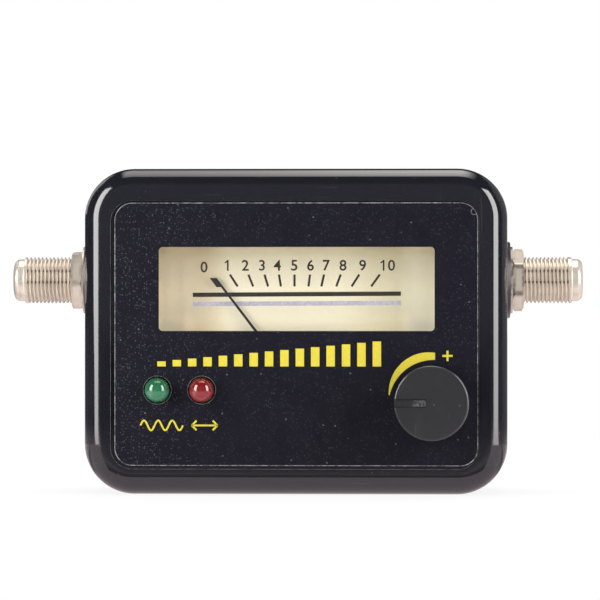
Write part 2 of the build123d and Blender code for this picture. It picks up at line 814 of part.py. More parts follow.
# Front bridge with the front bearing and the lug that holds the front hairspring
with BuildPart() as front_bridge:
    with BuildSketch(front_plane(bridge_front, pivot_x, pivot_z)):
        Rectangle(2 * (movement_half_width - bridge_end_clearance), 2 * bridge_half_height)
        Circle(bearing_radius, mode=Mode.SUBTRACT)
        with Locations((-bridge_screw_x, 0), (bridge_screw_x, 0)):
            Circle(bridge_screw_radius, mode=Mode.SUBTRACT)
    extrude(amount=-bridge_thickness)
    with BuildSketch(front_plane(bridge_rear, pivot_x, pivot_z)):
        with Locations((spring_outer_radius + (spring_strip + spring_lug_width) / 2, 0)):
            Rectangle(spring_lug_width, spring_lug_width)
    extrude(amount=-(spring_gap + spring_height))
save(front_bridge, "front_bridge")

# Screws of the bridge
with BuildPart() as bridge_screws:
    for side in (-1, 1):
        with BuildSketch(front_plane(bridge_front, pivot_x + side * bridge_screw_x, pivot_z)):
            Circle(bridge_screw_radius)
        extrude(amount=-(bridge_thickness + bridge_screw_length - bridge_gap))
        with BuildSketch(front_plane(bridge_front, pivot_x + side * bridge_screw_x, pivot_z)):
            Circle(bridge_screw_head_radius)
        extrude(amount=bridge_screw_head_height)
save(bridge_screws, "bridge_screws")

# Hairsprings: a flat spiral of half circles round a collar
spring_depths = {"front_hairspring": front_spring_depth, "rear_hairspring": rear_spring_depth}
for spring_name, spring_depth in spring_depths.items():
    with BuildPart() as hairspring:
        with BuildSketch(front_plane(spring_depth, pivot_x, pivot_z)):
            with BuildLine():
                for half_turn in range(2 * spring_turns):
                    arc_radius = spring_collar_radius + half_turn * spring_pitch / 2
                    arc_centre = (half_turn % 2) * spring_pitch / 2
                    CenterArc((arc_centre, 0), arc_radius, 180 * (half_turn % 2), 180)
            trace(line_width=spring_strip)
            Circle(spring_collar_radius)
            Circle(pivot_radius + spring_collar_clearance, mode=Mode.SUBTRACT)
        extrude(amount=-spring_height)
    save(hairspring, spring_name)

# Terminals of the movement, which pass through the board
with BuildPart() as meter_terminals:
    with BuildSketch(front_plane(movement_floor_front - terminal_head_height)):
        with Locations(*terminal_places):
            Circle(terminal_head_radius)
    extrude(amount=-terminal_head_height)
    with BuildSketch(front_plane(movement_floor_front)):
        with Locations(*terminal_places):
            Circle(terminal_radius)
    extrude(amount=-(pin_end_depth - movement_floor_front))
save(meter_terminals, "meter_terminals")

# Signal lamps: a domed lens on a flange
for lamp_name, (lamp_x, lamp_place_z) in lamp_places.items():
    with BuildPart() as lamp:
        with BuildSketch(axial_plane(lamp_x, lamp_place_z)):
            dome_front = lamp_seat_depth + lamp_flange - lamp_length
            with BuildLine():
                CenterArc((0, dome_front + lamp_radius), lamp_radius, 270, 90)
                Polyline(
                    (lamp_radius, dome_front + lamp_radius),
                    (lamp_radius, lamp_seat_depth),
                    (lamp_flange_radius, lamp_seat_depth),
                    (lamp_flange_radius, lamp_seat_depth + lamp_flange),
                    (0, lamp_seat_depth + lamp_flange),
                    (0, dome_front),
                )
            make_face()
        revolve(axis=front_axis(lamp_x, lamp_place_z))
    save(lamp, lamp_name)

# Leads of the lamps, down to the board
with BuildPart() as led_leads:
    with BuildSketch(front_plane(lamp_seat_depth + lamp_flange)):
        with Locations(*lead_places):
            Rectangle(lamp_lead_width, lamp_lead_width)
    extrude(amount=-(pin_end_depth - lamp_seat_depth - lamp_flange))
save(led_leads, "led_leads")

# Knob with its pointer slot, which points left at rest
with BuildPart() as sensitivity_knob:
    knob_rear = recess_depth - label_thickness - knob_label_gap
    with BuildSketch(front_plane(-knob_reach, knob_x, knob_z)):
        Circle(knob_radius)
    extrude(amount=-(knob_reach + knob_rear))
    fillet(sensitivity_knob.faces().sort_by(Axis.Y)[0].edges(), knob_edge)
    with BuildSketch(front_plane(-knob_reach, knob_x, knob_z)):
        with Locations((-(knob_radius + cut_overrun) + (knob_slot_length + cut_overrun) / 2, 0)):
            Rectangle(knob_slot_length + cut_overrun, knob_slot_width)
    extrude(amount=-knob_slot_depth, mode=Mode.SUBTRACT)
    with BuildSketch(front_plane(shaft_front, knob_x, knob_z)):
        Circle(shaft_radius + knob_fit)
        with Locations((0, shaft_flat + knob_fit + shaft_radius)):
            Rectangle(2 * (shaft_radius + cut_overrun), 2 * shaft_radius, mode=Mode.SUBTRACT)
    extrude(amount=-case_depth, mode=Mode.SUBTRACT)
save(sensitivity_knob, "sensitivity_knob")

# Shaft of the control, with a flat for the knob and a flange that keeps it in
with BuildPart() as pot_shaft:
    with BuildSketch(front_plane(shaft_front, knob_x, knob_z)):
        Circle(shaft_radius)
    extrude(amount=-(shaft_rear - shaft_front))
    with BuildSketch(front_plane(shaft_flange_front, knob_x, knob_z)):
        Circle(shaft_flange_radius)
    extrude(amount=-shaft_flange)
    with BuildSketch(front_plane(shaft_front, knob_x, knob_z)):
        with Locations((0, shaft_flat + shaft_radius)):
            Rectangle(2 * (shaft_radius + cut_overrun), 2 * shaft_radius)
    extrude(amount=-(knob_rear - shaft_front), mode=Mode.SUBTRACT)
save(pot_shaft, "pot_shaft")

# Wiper that turns with the shaft
with BuildPart() as pot_wiper:
    with BuildSketch(front_plane(shaft_rear, knob_x, knob_z)):
        Circle(wiper_radius)
    extrude(amount=-wiper_thickness)
    with BuildSketch(front_plane(wiper_rear, knob_x, knob_z)):
        with Locations((-(wiper_finger_inner + wiper_radius) / 2, 0)):
            Rectangle(wiper_radius - wiper_finger_inner, wiper_finger_width)
    extrude(amount=-(track_front - wiper_gap - wiper_rear))
    with BuildSketch(front_plane(track_front - wiper_gap - wiper_thickness, knob_x, knob_z)):
        with Locations((-(wiper_finger_inner + wiper_finger_outer) / 2, 0)):
            Rectangle(wiper_finger_outer - wiper_finger_inner, wiper_finger_width)
    extrude(amount=-wiper_thickness)
save(pot_wiper, "pot_wiper")

# Housing of the control
with BuildPart() as pot_housing:
    with BuildSketch(front_plane(control_front_depth, knob_x, knob_z)):
        Circle(control_radius)
    extrude(amount=-(control_rear - control_front_depth))
    bushing_front = recess_depth + bushing_sink
    with BuildSketch(front_plane(bushing_front, knob_x, knob_z)):
        Circle(bushing_radius)
    extrude(amount=-(control_front_depth - bushing_front))
    with BuildSketch(front_plane(bushing_front, knob_x, knob_z)):
        Circle(shaft_radius + shaft_clearance)
    extrude(amount=-(control_cavity_front - bushing_front), mode=Mode.SUBTRACT)
    with BuildSketch(front_plane(control_cavity_front, knob_x, knob_z)):
        Circle(control_cavity_radius)
    extrude(amount=-(control_cavity_rear - control_cavity_front), mode=Mode.SUBTRACT)
    with BuildSketch(front_plane(control_cavity_rear)):
        with Locations(*control_pin_places):
            Circle(control_pin_radius)
    extrude(amount=-(control_rear_wall + cut_overrun), mode=Mode.SUBTRACT)
save(pot_housing, "pot_housing")

# Track under the wiper
with BuildPart() as pot_track:
    with BuildSketch(front_plane(track_front, knob_x, knob_z)):
        Circle(control_cavity_radius)
        Circle(track_hole_radius, mode=Mode.SUBTRACT)
    extrude(amount=-track_thickness)
save(pot_track, "pot_track")

# Pins of the control, through the board
with BuildPart() as pot_pins:
    with BuildSketch(front_plane(control_cavity_rear)):
        with Locations(*control_pin_places):
            Circle(control_pin_radius)
    extrude(amount=-(pin_end_depth - control_cavity_rear))
save(pot_pins, "pot_pins")

# Circuit board, notched round the screw bosses
with BuildPart() as circuit_board:
    with BuildSketch(front_plane(board_front)):
        Rectangle(board_width, board_height)
        for side in (-1, 1):
            for end in (-1, 1):
                notch_x = side * (board_width - board_notch_width) / 2
                notch_z = end * (board_height - board_notch_height) / 2
                with Locations((notch_x, notch_z)):
                    Rectangle(board_notch_width, board_notch_height, mode=Mode.SUBTRACT)
        with Locations(*lead_places, *terminal_places, *control_pin_places, *buzzer_pin_places):
            Circle(terminal_radius + pin_hole_clearance, mode=Mode.SUBTRACT)
    extrude(amount=-board_thickness)
save(circuit_board, "circuit_board")

# Buzzer with its sound hole
with BuildPart() as buzzer:
    with BuildSketch(front_plane(board_rear, buzzer_x, buzzer_z)):
        Circle(buzzer_radius)
    extrude(amount=-buzzer_height)
    fillet(buzzer.faces().sort_by(Axis.Y)[-1].edges(), buzzer_edge)
    with BuildSketch(front_plane(board_rear + buzzer_height, buzzer_x, buzzer_z)):
        Circle(buzzer_sound_radius)
    extrude(amount=buzzer_sound_depth, mode=Mode.SUBTRACT)
save(buzzer, "buzzer")

# Pins of the buzzer
with BuildPart() as buzzer_pins:
    with BuildSketch(front_plane(board_rear)):
        with Locations(*buzzer_pin_places):
            Circle(buzzer_pin_radius)
    extrude(amount=board_thickness + buzzer_pin_reach)
save(buzzer_pins, "buzzer_pins")

# Electrolytic capacitors
with BuildPart() as electrolytic_capacitors:
    with BuildSketch(front_plane(board_rear)):
        with Locations(*[board_place(share) for share in capacitor_place_shares]):
            Circle(capacitor_radius)
    extrude(amount=-capacitor_height)
    fillet(electrolytic_capacitors.faces().group_by(Axis.Y)[-1].edges(), capacitor_edge)
save(electrolytic_capacitors, "electrolytic_capacitors")

# Amplifier chip and its legs
amplifier_x, amplifier_z = board_place(amplifier_place_share)
with BuildPart() as signal_ic:
    with BuildSketch(front_plane(board_rear + chip_amplifier_standoff, amplifier_x, amplifier_z)):
        Rectangle(chip_amplifier_length, chip_amplifier_width)
    extrude(amount=-chip_amplifier_height)
save(signal_ic, "signal_ic")

with BuildPart() as signal_ic_legs:
    leg_span = chip_amplifier_width / 2 + chip_leg_reach
    for side in (-1, 1):
        leg_row_z = amplifier_z + side * (chip_amplifier_width / 2 + chip_leg_reach / 2)
        leg_drop_z = amplifier_z + side * (leg_span - chip_leg_thickness / 2)
        with BuildSketch(front_plane(board_rear + chip_leg_height, amplifier_x, leg_row_z)):
            with GridLocations(chip_leg_pitch, 0, chip_leg_count, 1):
                Rectangle(chip_leg_width, chip_leg_reach)
        extrude(amount=chip_leg_thickness)
        with BuildSketch(front_plane(board_rear, amplifier_x, leg_drop_z)):
            with GridLocations(chip_leg_pitch, 0, chip_leg_count, 1):
                Rectangle(chip_leg_width, chip_leg_thickness)
        extrude(amount=-chip_leg_height)
save(signal_ic_legs, "signal_ic_legs")

# Chip resistors and ceramic capacitors in rows
with BuildPart() as chip_resistors:
    with BuildSketch(front_plane(board_rear)):
        with Locations(*board_grid(resistor_column_shares, resistor_row_shares)):
            Rectangle(resistor_length, resistor_width)
    extrude(amount=-resistor_height)
save(chip_resistors, "chip_resistors")

with BuildPart() as chip_capacitors:
    with BuildSketch(front_plane(board_rear)):
        with Locations(*board_grid(ceramic_column_shares, ceramic_row_shares)):
            Rectangle(ceramic_length, ceramic_width)
    extrude(amount=-ceramic_height)
save(chip_capacitors, "chip_capacitors")

# Chokes that pass the supply along the aerial line
with BuildPart() as chokes:
    for share in choke_place_shares:
        x, z = board_place(share)
        for start, length, radius in (
            (0, choke_rim, choke_radius),
            (choke_rim, choke_height - 2 * choke_rim, choke_waist_radius),
            (choke_height - choke_rim, choke_rim, choke_radius),
        ):
            with BuildSketch(front_plane(board_rear + start, x, z)):
                Circle(radius)
            extrude(amount=-length)
save(chokes, "chokes")

# Transistors
with BuildPart() as transistors:
    with BuildSketch(front_plane(board_rear)):
        with Locations(*[board_place(share) for share in transistor_place_shares]):
            Rectangle(transistor_length, transistor_width)
    extrude(amount=-transistor_height)
save(transistors, "transistors")


def thread_groove(side):
    """The helical groove between the crests of a connector's thread, as a solid to cut away."""
    groove_start = thread_start - thread_pitch
    groove_end = tip_start - thread_runout_turns * thread_pitch
    root_radius = thread_radius - thread_depth
    flank_half_width = thread_pitch / 2 * thread_flank_share
    with BuildPart() as groove:
        with BuildLine() as path:
            Helix(
                pitch=thread_pitch,
                height=groove_end - groove_start,
                radius=root_radius,
                center=port_face_plane(side, groove_start).origin,
                direction=(side, 0, 0),
            )
        start = path.wires()[0] @ 0
        radial = Vector(0, start.Y - front_y - seam_depth, start.Z - centre_z - port_z).normalized()
        with BuildSketch(Plane(origin=start, x_dir=radial, z_dir=path.wires()[0] % 0)):
            with BuildLine():
                Polyline(
                    (0, -thread_root_half_width),
                    (thread_depth + thread_overcut, -flank_half_width),
                    (thread_depth + thread_overcut, flank_half_width),
                    (0, thread_root_half_width),
                    close=True,
                )
            make_face()
        sweep(path=path.wires()[0], is_frenet=True)
    return groove.part


# Aerial connectors
for side, side_name in ((-1, "left"), (1, "right")):
    groove_solid = thread_groove(side)
    with BuildPart() as port_body:
        with BuildSketch(port_profile_plane(side)):
            with BuildLine():
                Polyline(
                    (tip_end, tip_radius - tip_round),
                    (tip_end, insulator_radius + insulator_clearance),
                    (port_inner_end, insulator_radius + insulator_clearance),
                    (port_inner_end, port_spigot_radius),
                    (port_inner_end + port_spigot, port_spigot_radius),
                    (port_inner_end + port_spigot, port_flange_radius),
                    (-side_wall, port_flange_radius),
                    (-side_wall, thread_radius),
                    (tip_start - thread_depth / 2, thread_radius),
                    (tip_start, tip_radius),
                    (tip_end - tip_round, tip_radius),
                )
                tip_round_start = (tip_end - tip_round, tip_radius)
                RadiusArc(tip_round_start, (tip_end, tip_radius - tip_round), tip_round)
            make_face()
        revolve(axis=port_axis(side))
        add(groove_solid, mode=Mode.SUBTRACT)
    save(port_body, f"{side_name}_port_body")

    with BuildPart() as port_insulator:
        with BuildSketch(port_face_plane(side, port_inner_end)):
            Circle(insulator_radius)
        extrude(amount=insulator_front - port_inner_end)
        with BuildSketch(port_face_plane(side, port_inner_end)):
            Circle(contact_pin_radius + insulator_clearance)
        extrude(amount=contact_rear - port_inner_end, mode=Mode.SUBTRACT)
        with BuildSketch(port_face_plane(side, contact_rear)):
            Circle(contact_radius + insulator_clearance)
        extrude(amount=contact_front - contact_rear, mode=Mode.SUBTRACT)
        with BuildSketch(port_face_plane(side, contact_front)):
            Circle(insulator_entry_radius)
        extrude(amount=insulator_face + cut_overrun, mode=Mode.SUBTRACT)
    save(port_insulator, f"{side_name}_port_insulator")

    with BuildPart() as port_contact:
        with BuildSketch(port_face_plane(side, contact_rear)):
            Circle(contact_radius)
        extrude(amount=contact_front - contact_rear)
        with BuildSketch(port_face_plane(side, contact_front)):
            Circle(contact_bore_radius)
        extrude(amount=-contact_bore_length, mode=Mode.SUBTRACT)
        with BuildSketch(port_face_plane(side, contact_pin_end)):
            Circle(contact_pin_radius)
        extrude(amount=contact_rear - contact_pin_end)
    save(port_contact, f"{side_name}_port_contact")

    with BuildPart() as port_washer:
        with BuildSketch(port_face_plane(side, washer_start)):
            Circle(washer_radius)
            Circle(thread_radius + washer_clearance, mode=Mode.SUBTRACT)
        extrude(amount=washer_thickness)
    save(port_washer, f"{side_name}_port_washer")

    with BuildPart() as port_nut:
        with BuildSketch(port_face_plane(side, nut_start)):
            RegularPolygon(
                nut_across_flats / 2, 6, major_radius=False, rotation=nut_turn_degrees[side]
            )
        extrude(amount=nut_thickness)
        corner_radius = nut_across_flats / math.sqrt(3)
        with BuildSketch(port_profile_plane(side)):
            with BuildLine():
                Polyline(
                    (thread_start, 0),
                    (thread_start, corner_radius - nut_chamfer * 2),
                    (thread_start - nut_chamfer, corner_radius),
                    (nut_start + nut_chamfer, corner_radius),
                    (nut_start, corner_radius - nut_chamfer * 2),
                    (nut_start, 0),
                    close=True,
                )
            make_face()
        revolve(axis=port_axis(side), mode=Mode.INTERSECT)
        with BuildSketch(port_face_plane(side, nut_start)):
            Circle(thread_radius + nut_clearance)
        extrude(amount=nut_thickness, mode=Mode.SUBTRACT)
    save(port_nut, f"{side_name}_port_nut")
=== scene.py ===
import json
import math
import bpy
import numpy as np
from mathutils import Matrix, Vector


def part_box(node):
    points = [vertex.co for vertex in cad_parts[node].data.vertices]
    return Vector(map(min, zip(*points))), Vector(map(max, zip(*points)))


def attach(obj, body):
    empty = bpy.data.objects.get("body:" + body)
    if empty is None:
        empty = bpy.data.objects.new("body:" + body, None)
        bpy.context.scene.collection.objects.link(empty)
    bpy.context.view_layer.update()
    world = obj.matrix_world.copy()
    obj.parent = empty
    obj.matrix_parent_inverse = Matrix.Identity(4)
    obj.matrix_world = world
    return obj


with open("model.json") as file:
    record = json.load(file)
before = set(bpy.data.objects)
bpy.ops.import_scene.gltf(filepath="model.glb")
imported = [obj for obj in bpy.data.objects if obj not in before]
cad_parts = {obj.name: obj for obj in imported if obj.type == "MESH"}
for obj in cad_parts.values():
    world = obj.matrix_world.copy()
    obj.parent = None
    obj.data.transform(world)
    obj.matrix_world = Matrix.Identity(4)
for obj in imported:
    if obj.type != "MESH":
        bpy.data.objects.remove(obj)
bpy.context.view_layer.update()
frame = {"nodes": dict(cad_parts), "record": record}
nodes = frame["nodes"]

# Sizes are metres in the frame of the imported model, and mm stands for a millimetre.
mm = 0.001

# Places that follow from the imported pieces
cover_low, cover_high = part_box("front_cover")
film_low, film_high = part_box("front_label")
dial_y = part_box("dial_plate")[0].y
knob_low, knob_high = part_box("sensitivity_knob")
nut_low, nut_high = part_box("left_port_nut")
front_y = cover_low.y
seam_y = cover_high.y
centre_z = (cover_low.z + cover_high.z) / 2
film_y = film_low.y
film_x = (film_low.x + film_high.x) / 2
film_z = (film_low.z + film_high.z) / 2
film_width = film_high.x - film_low.x
film_height = film_high.z - film_low.z
knob_x = (knob_low.x + knob_high.x) / 2
knob_z = (knob_low.z + knob_high.z) / 2

# The case's flat side. The box of the cover also holds the raised rings round the ports.
case_side = 43 * mm

# The photograph's camera, aimed at a point on the front face
aim = Vector((1.02 * mm, front_y, centre_z + 6.38 * mm))
camera_distance = 650 * mm
camera_turn = math.radians(1.9)
camera_lens = 193.0
camera_sensor = 36

# Steps of curved pieces
arc_steps = 48
corner_steps = 16
ring_steps = 72
bead_steps = 6
digit_steps = 6

# The film, the recess that it lies in, its holes for the lamps and its bubble
film_corner = 3.5 * mm
recess_corner = 4.4 * mm
recess_width = 74.6 * mm
recess_height = 54.4 * mm
recess_x = -0.1 * mm
recess_z = centre_z - 0.65 * mm
edge_radius = 0.07 * mm
lip_radius = 0.05 * mm
lamp_hole_radius = 2.85 * mm
bubble_radius = 0.62 * mm
bubble_x = film_high.x - 0.72 * mm
bubble_z = film_high.z - 1.75 * mm

# The connectors' threads, nuts and end rims. Painted shade lies in rows in the thread's roots: a
# height and its share.
thread_end = 56.7 * mm
thread_root = 4.34 * mm
thread_crest = 4.66 * mm
nut_corner = 6.41 * mm
rim_end = 58.8 * mm
root_shade_rows = ((3.7 * mm, 0.45), (1.85 * mm, 0.85), (-0.45 * mm, 0.85))

# Ink and digits
ink_thickness = 0.02 * mm
digit_weight = 0.014
digit_pitch = 1.72 * mm
one_stroke = 0.32 * mm
one_shift = 0.12 * mm
one_flag = 0.62 * mm
one_flag_share = 0.8


def new_object(name, vertices, faces):
    """A mesh piece from its points and its faces, which all have as many corners."""
    mesh = bpy.data.meshes.new(name)
    mesh.from_pydata(np.asarray(vertices, float).tolist(), [], np.asarray(faces).tolist())
    mesh.validate()
    mesh.update()
    piece = bpy.data.objects.new(name, mesh)
    bpy.context.scene.collection.objects.link(piece)
    return piece


def grid_faces(rows, columns, wrap_rows=False, wrap_columns=False):
    """Four cornered faces of a grid of points, numbered row by row, with its ends joined or not."""
    row, column = np.meshgrid(
        np.arange(rows if wrap_rows else rows - 1),
        np.arange(columns if wrap_columns else columns - 1),
        indexing="ij",
    )
    row, column = row.ravel(), column.ravel()
    next_row, next_column = (row + 1) % rows, (column + 1) % columns
    corners = ((row, column), (next_row, column), (next_row, next_column), (row, next_column))
    return np.stack([r * columns + c for r, c in corners], axis=1)


def smooth(piece):
    """Shades every face of a piece smooth."""
    piece.data.polygons.foreach_set("use_smooth", np.ones(len(piece.data.polygons), bool))


def rounded_loop(width, height, radius, x, z):
    """A rounded rectangle's loop of (x, z) points and its outward directions.

    Each corner is an arc of angle a about its own centre, and the next corner follows on.
    """
    turns = np.linspace(0, math.pi / 2, corner_steps)
    angles = np.concatenate([turns + quarter * math.pi / 2 for quarter in range(4)])
    half_x, half_z = width / 2 - radius, height / 2 - radius
    side_x = np.repeat([1, -1, -1, 1], corner_steps)
    side_z = np.repeat([1, 1, -1, -1], corner_steps)
    out = np.stack([np.cos(angles), np.sin(angles)], axis=1)
    loop = np.stack([x + side_x * half_x, z + side_z * half_z], axis=1) + radius * out
    return loop, out


def ring_loop(radius, x, z):
    """A circle's loop of (x, z) points and its outward directions."""
    angles = np.linspace(0, 2 * math.pi, ring_steps, endpoint=False)
    out = np.stack([np.cos(angles), np.sin(angles)], axis=1)
    return np.array([x, z]) + radius * out, out


def bead(name, loops, y, radius):
    """Round beads along closed loops that lie across Y at a depth.

    The point at (s, a) is the loop's point at s, moved out by radius times cos a and forward by
    radius times sin a.
    """
    around = np.linspace(0, 2 * math.pi, bead_steps, endpoint=False)
    points, faces, start = [], [], 0
    for loop, out in loops:
        flat = loop[:, None, :] + radius * np.cos(around)[None, :, None] * out[:, None, :]
        depth = np.broadcast_to(y - radius * np.sin(around), flat.shape[:2])
        points.append(np.stack([flat[..., 0], depth, flat[..., 1]], axis=-1).reshape(-1, 3))
        faces.append(grid_faces(len(loop), bead_steps, True, True) + start)
        start += len(points[-1])
    piece = new_object(name, np.concatenate(points), np.concatenate(faces))
    smooth(piece)
    return piece


def front_triangles(flat, faces):
    """Splits three or four cornered faces of (x, z) points into triangles that face the front.

    A triangle faces the front where it runs anticlockwise, so that its signed area is above zero.
    """
    halves = [faces[:, [0, k - 1, k]] for k in range(2, faces.shape[1])]
    triangles = np.concatenate(halves)
    first, second = (flat[triangles[:, k]] - flat[triangles[:, 0]] for k in (1, 2))
    turned = first[:, 0] * second[:, 1] < first[:, 1] * second[:, 0]
    triangles[turned] = triangles[turned][:, ::-1]
    return triangles


def ink(name, sheets, y):
    """Printed ink: flat sheets of (x, z) points with their faces, laid on a face at depth y.

    Each sheet is (points, faces), and the ink stands out from the face by its thickness.
    """
    points, faces, start = [], [], 0
    for flat, sheet_faces in sheets:
        flat = flat.reshape(-1, 2)
        points.append(np.stack([flat[:, 0], np.full(len(flat), y), flat[:, 1]], axis=1))
        faces.append(front_triangles(flat, sheet_faces) + start)
        start += len(flat)
    piece = new_object(name, np.concatenate(points), np.concatenate(faces))
    body = piece.modifiers.new("ink", "SOLIDIFY")
    body.thickness = ink_thickness
    body.offset = 1
    return piece


def sheet(function, along, across):
    """A flat sheet from a function of two unit parameters that gives (x, z), on a grid."""
    u, v = np.meshgrid(np.linspace(0, 1, along), np.linspace(0, 1, across), indexing="ij")
    x, z = function(u, v)
    return np.stack([x, z], axis=-1), grid_faces(along, across)


def box_sheet(x0, x1, z0, z1):
    """A printed rectangle between two corners."""
    return sheet(lambda u, v: (x0 + (x1 - x0) * u, z0 + (z1 - z0) * v), 2, 2)


def line_sheet(start, end, width):
    """A printed straight line of a width between two points."""
    start, end = np.array(start), np.array(end)
    along = (end - start) / np.linalg.norm(end - start)
    side = np.array([along[1], -along[0]]) * width / 2

    def place(u, v):
        point = start + u[..., None] * (end - start) + (2 * v[..., None] - 1) * side
        return point[..., 0], point[..., 1]

    return sheet(place, 2, 2)


def wave_sheet(x, z, length, height, turns, width):
    """A printed sine wave: its middle line is z + height / 2 * sin(turns * 2 pi u)."""

    def place(u, v):
        phase = 2 * math.pi * turns * u
        slope = math.pi * turns * height * np.cos(phase) / length
        lean = np.sqrt(1 + slope**2)
        offset = (v - 0.5) * width
        across_x = x + (u - 0.5) * length - offset * slope / lean
        return across_x, z + height / 2 * np.sin(phase) + offset / lean

    return sheet(place, arc_steps, 2)


def swell_sheet(outer, inner):
    """The band that swells round the knob, between an outer and an inner arc.

    Each arc is (centre x, centre z, radius, first angle, last angle). At a share u of the way
    along, the band runs from the inner arc's point at that share of its angles to the outer's.
    """

    def place(u, v):
        def point(x, z, radius, first, last):
            angle = first + (last - first) * u
            return x + radius * np.cos(angle), z + radius * np.sin(angle)

        (inner_x, inner_z), (outer_x, outer_z) = point(*inner), point(*outer)
        return (1 - v) * inner_x + v * outer_x, (1 - v) * inner_z + v * outer_z

    return sheet(place, arc_steps, 2)


def numeral_sheet(text, height, x, z):
    """A digit as a flat sheet of triangles, its middle at (x, z)."""
    curve = bpy.data.curves.new(text, "FONT")
    curve.body = text
    curve.fill_mode = "FRONT"
    curve.resolution_u = digit_steps
    curve.offset = digit_weight
    holder = bpy.data.objects.new(text, curve)
    bpy.context.scene.collection.objects.link(holder)
    bpy.context.view_layer.update()
    mesh = bpy.data.meshes.new_from_object(holder)
    mesh.calc_loop_triangles()
    flat = np.zeros(len(mesh.vertices) * 3)
    faces = np.zeros(len(mesh.loop_triangles) * 3, int)
    mesh.vertices.foreach_get("co", flat)
    mesh.loop_triangles.foreach_get("vertices", faces)
    flat, faces = flat.reshape(-1, 3)[:, :2], faces.reshape(-1, 3)
    bpy.data.objects.remove(holder)
    bpy.data.curves.remove(curve)
    bpy.data.meshes.remove(mesh)
    low, high = flat.min(0), flat.max(0)
    flat = (flat - (low + high) / 2) * height / (high[1] - low[1])
    return flat + np.array([x, z]), faces


def one_sheets(height, x, z):
    """The digit 1 as an upright stroke with a slanted flag."""
    top, foot = z + height / 2, z - height / 2
    flag_tip = (x - one_flag, top - one_flag)
    return [
        box_sheet(x - one_stroke / 2, x + one_stroke / 2, foot, top),
        line_sheet((x, top - one_stroke / 2), flag_tip, one_stroke * one_flag_share),
    ]


def number_sheets(number, height, x, z):
    """A whole number, its middle at (x, z), digit by digit."""
    digits = str(number)
    sheets = []
    for place, digit in enumerate(digits):
        digit_x = x + (place - (len(digits) - 1) / 2) * digit_pitch
        if digit == "1":
            sheets += one_sheets(height, digit_x + one_shift, z)
        else:
            sheets.append(numeral_sheet(digit, height, digit_x, z))
    return sheets


# Materials


class Graph:
    """A node tree, with short calls for its nodes."""

    def __init__(self, tree):
        self.tree = tree

    def node(self, kind, inputs=None, **settings):
        """A node with its settings and inputs; an input is a value or another node's output."""
        made = self.tree.nodes.new(kind)
        for key, value in settings.items():
            setattr(made, key, value)
        for key, value in (inputs or {}).items():
            self.set(made.inputs[key], value)
        return made

    def set(self, socket, value):
        """Links or writes a value to a socket. Colours are opaque and come as three numbers."""
        if isinstance(value, bpy.types.NodeSocket):
            self.tree.links.new(value, socket)
        else:
            socket.default_value = (*value, 1) if socket.type == "RGBA" else value

    def ramp(self, value, low, high, to_low=0.0, to_high=1.0):
        """A smooth step of a value between two limits."""
        limits = {"From Min": low, "From Max": high, "To Min": to_low, "To Max": to_high}
        inputs = {"Value": value, **limits}
        made = self.node("ShaderNodeMapRange", inputs, interpolation_type="SMOOTHSTEP")
        return made.outputs["Result"]

    def math(self, operation, value, *others):
        """An operation on a value and each of the others in turn."""
        for other in others:
            made = self.node("ShaderNodeMath", {0: value, 1: other}, operation=operation)
            value = made.outputs["Value"]
        return value

    def product(self, *values):
        """All the values multiplied."""
        return self.math("MULTIPLY", *values)

    def total(self, *values):
        """All the values added."""
        return self.math("ADD", *values)

    def largest(self, *values):
        """The largest of the values."""
        return self.math("MAXIMUM", *values)

    def less(self, first, second):
        """The first value less the second."""
        return self.math("SUBTRACT", first, second)

    def off(self, value, middle=0.0):
        """How far a value lies from a middle, to either side."""
        return self.math("ABSOLUTE", self.less(value, middle), 0.0)

    def between(self, share, first, second):
        """A value that lies at a share of the way between two others."""
        inputs = {0: share, 2: first, 3: second}
        return self.node("ShaderNodeMix", inputs, data_type="FLOAT").outputs["Result"]

    def split(self, vector):
        """The x, y and z of a vector."""
        return tuple(self.node("ShaderNodeSeparateXYZ", {0: vector}).outputs)

    def length(self, vector):
        """The length of a vector."""
        made = self.node("ShaderNodeVectorMath", {0: vector}, operation="LENGTH")
        return made.outputs["Value"]

    def rays(self):
        """Two shares: 1 for the camera's direct rays, and 1 for mirrored rays."""
        path = self.node("ShaderNodeLightPath").outputs
        direct = self.largest(path["Is Camera Ray"], path["Is Transmission Ray"])
        return direct, path["Is Glossy Ray"]


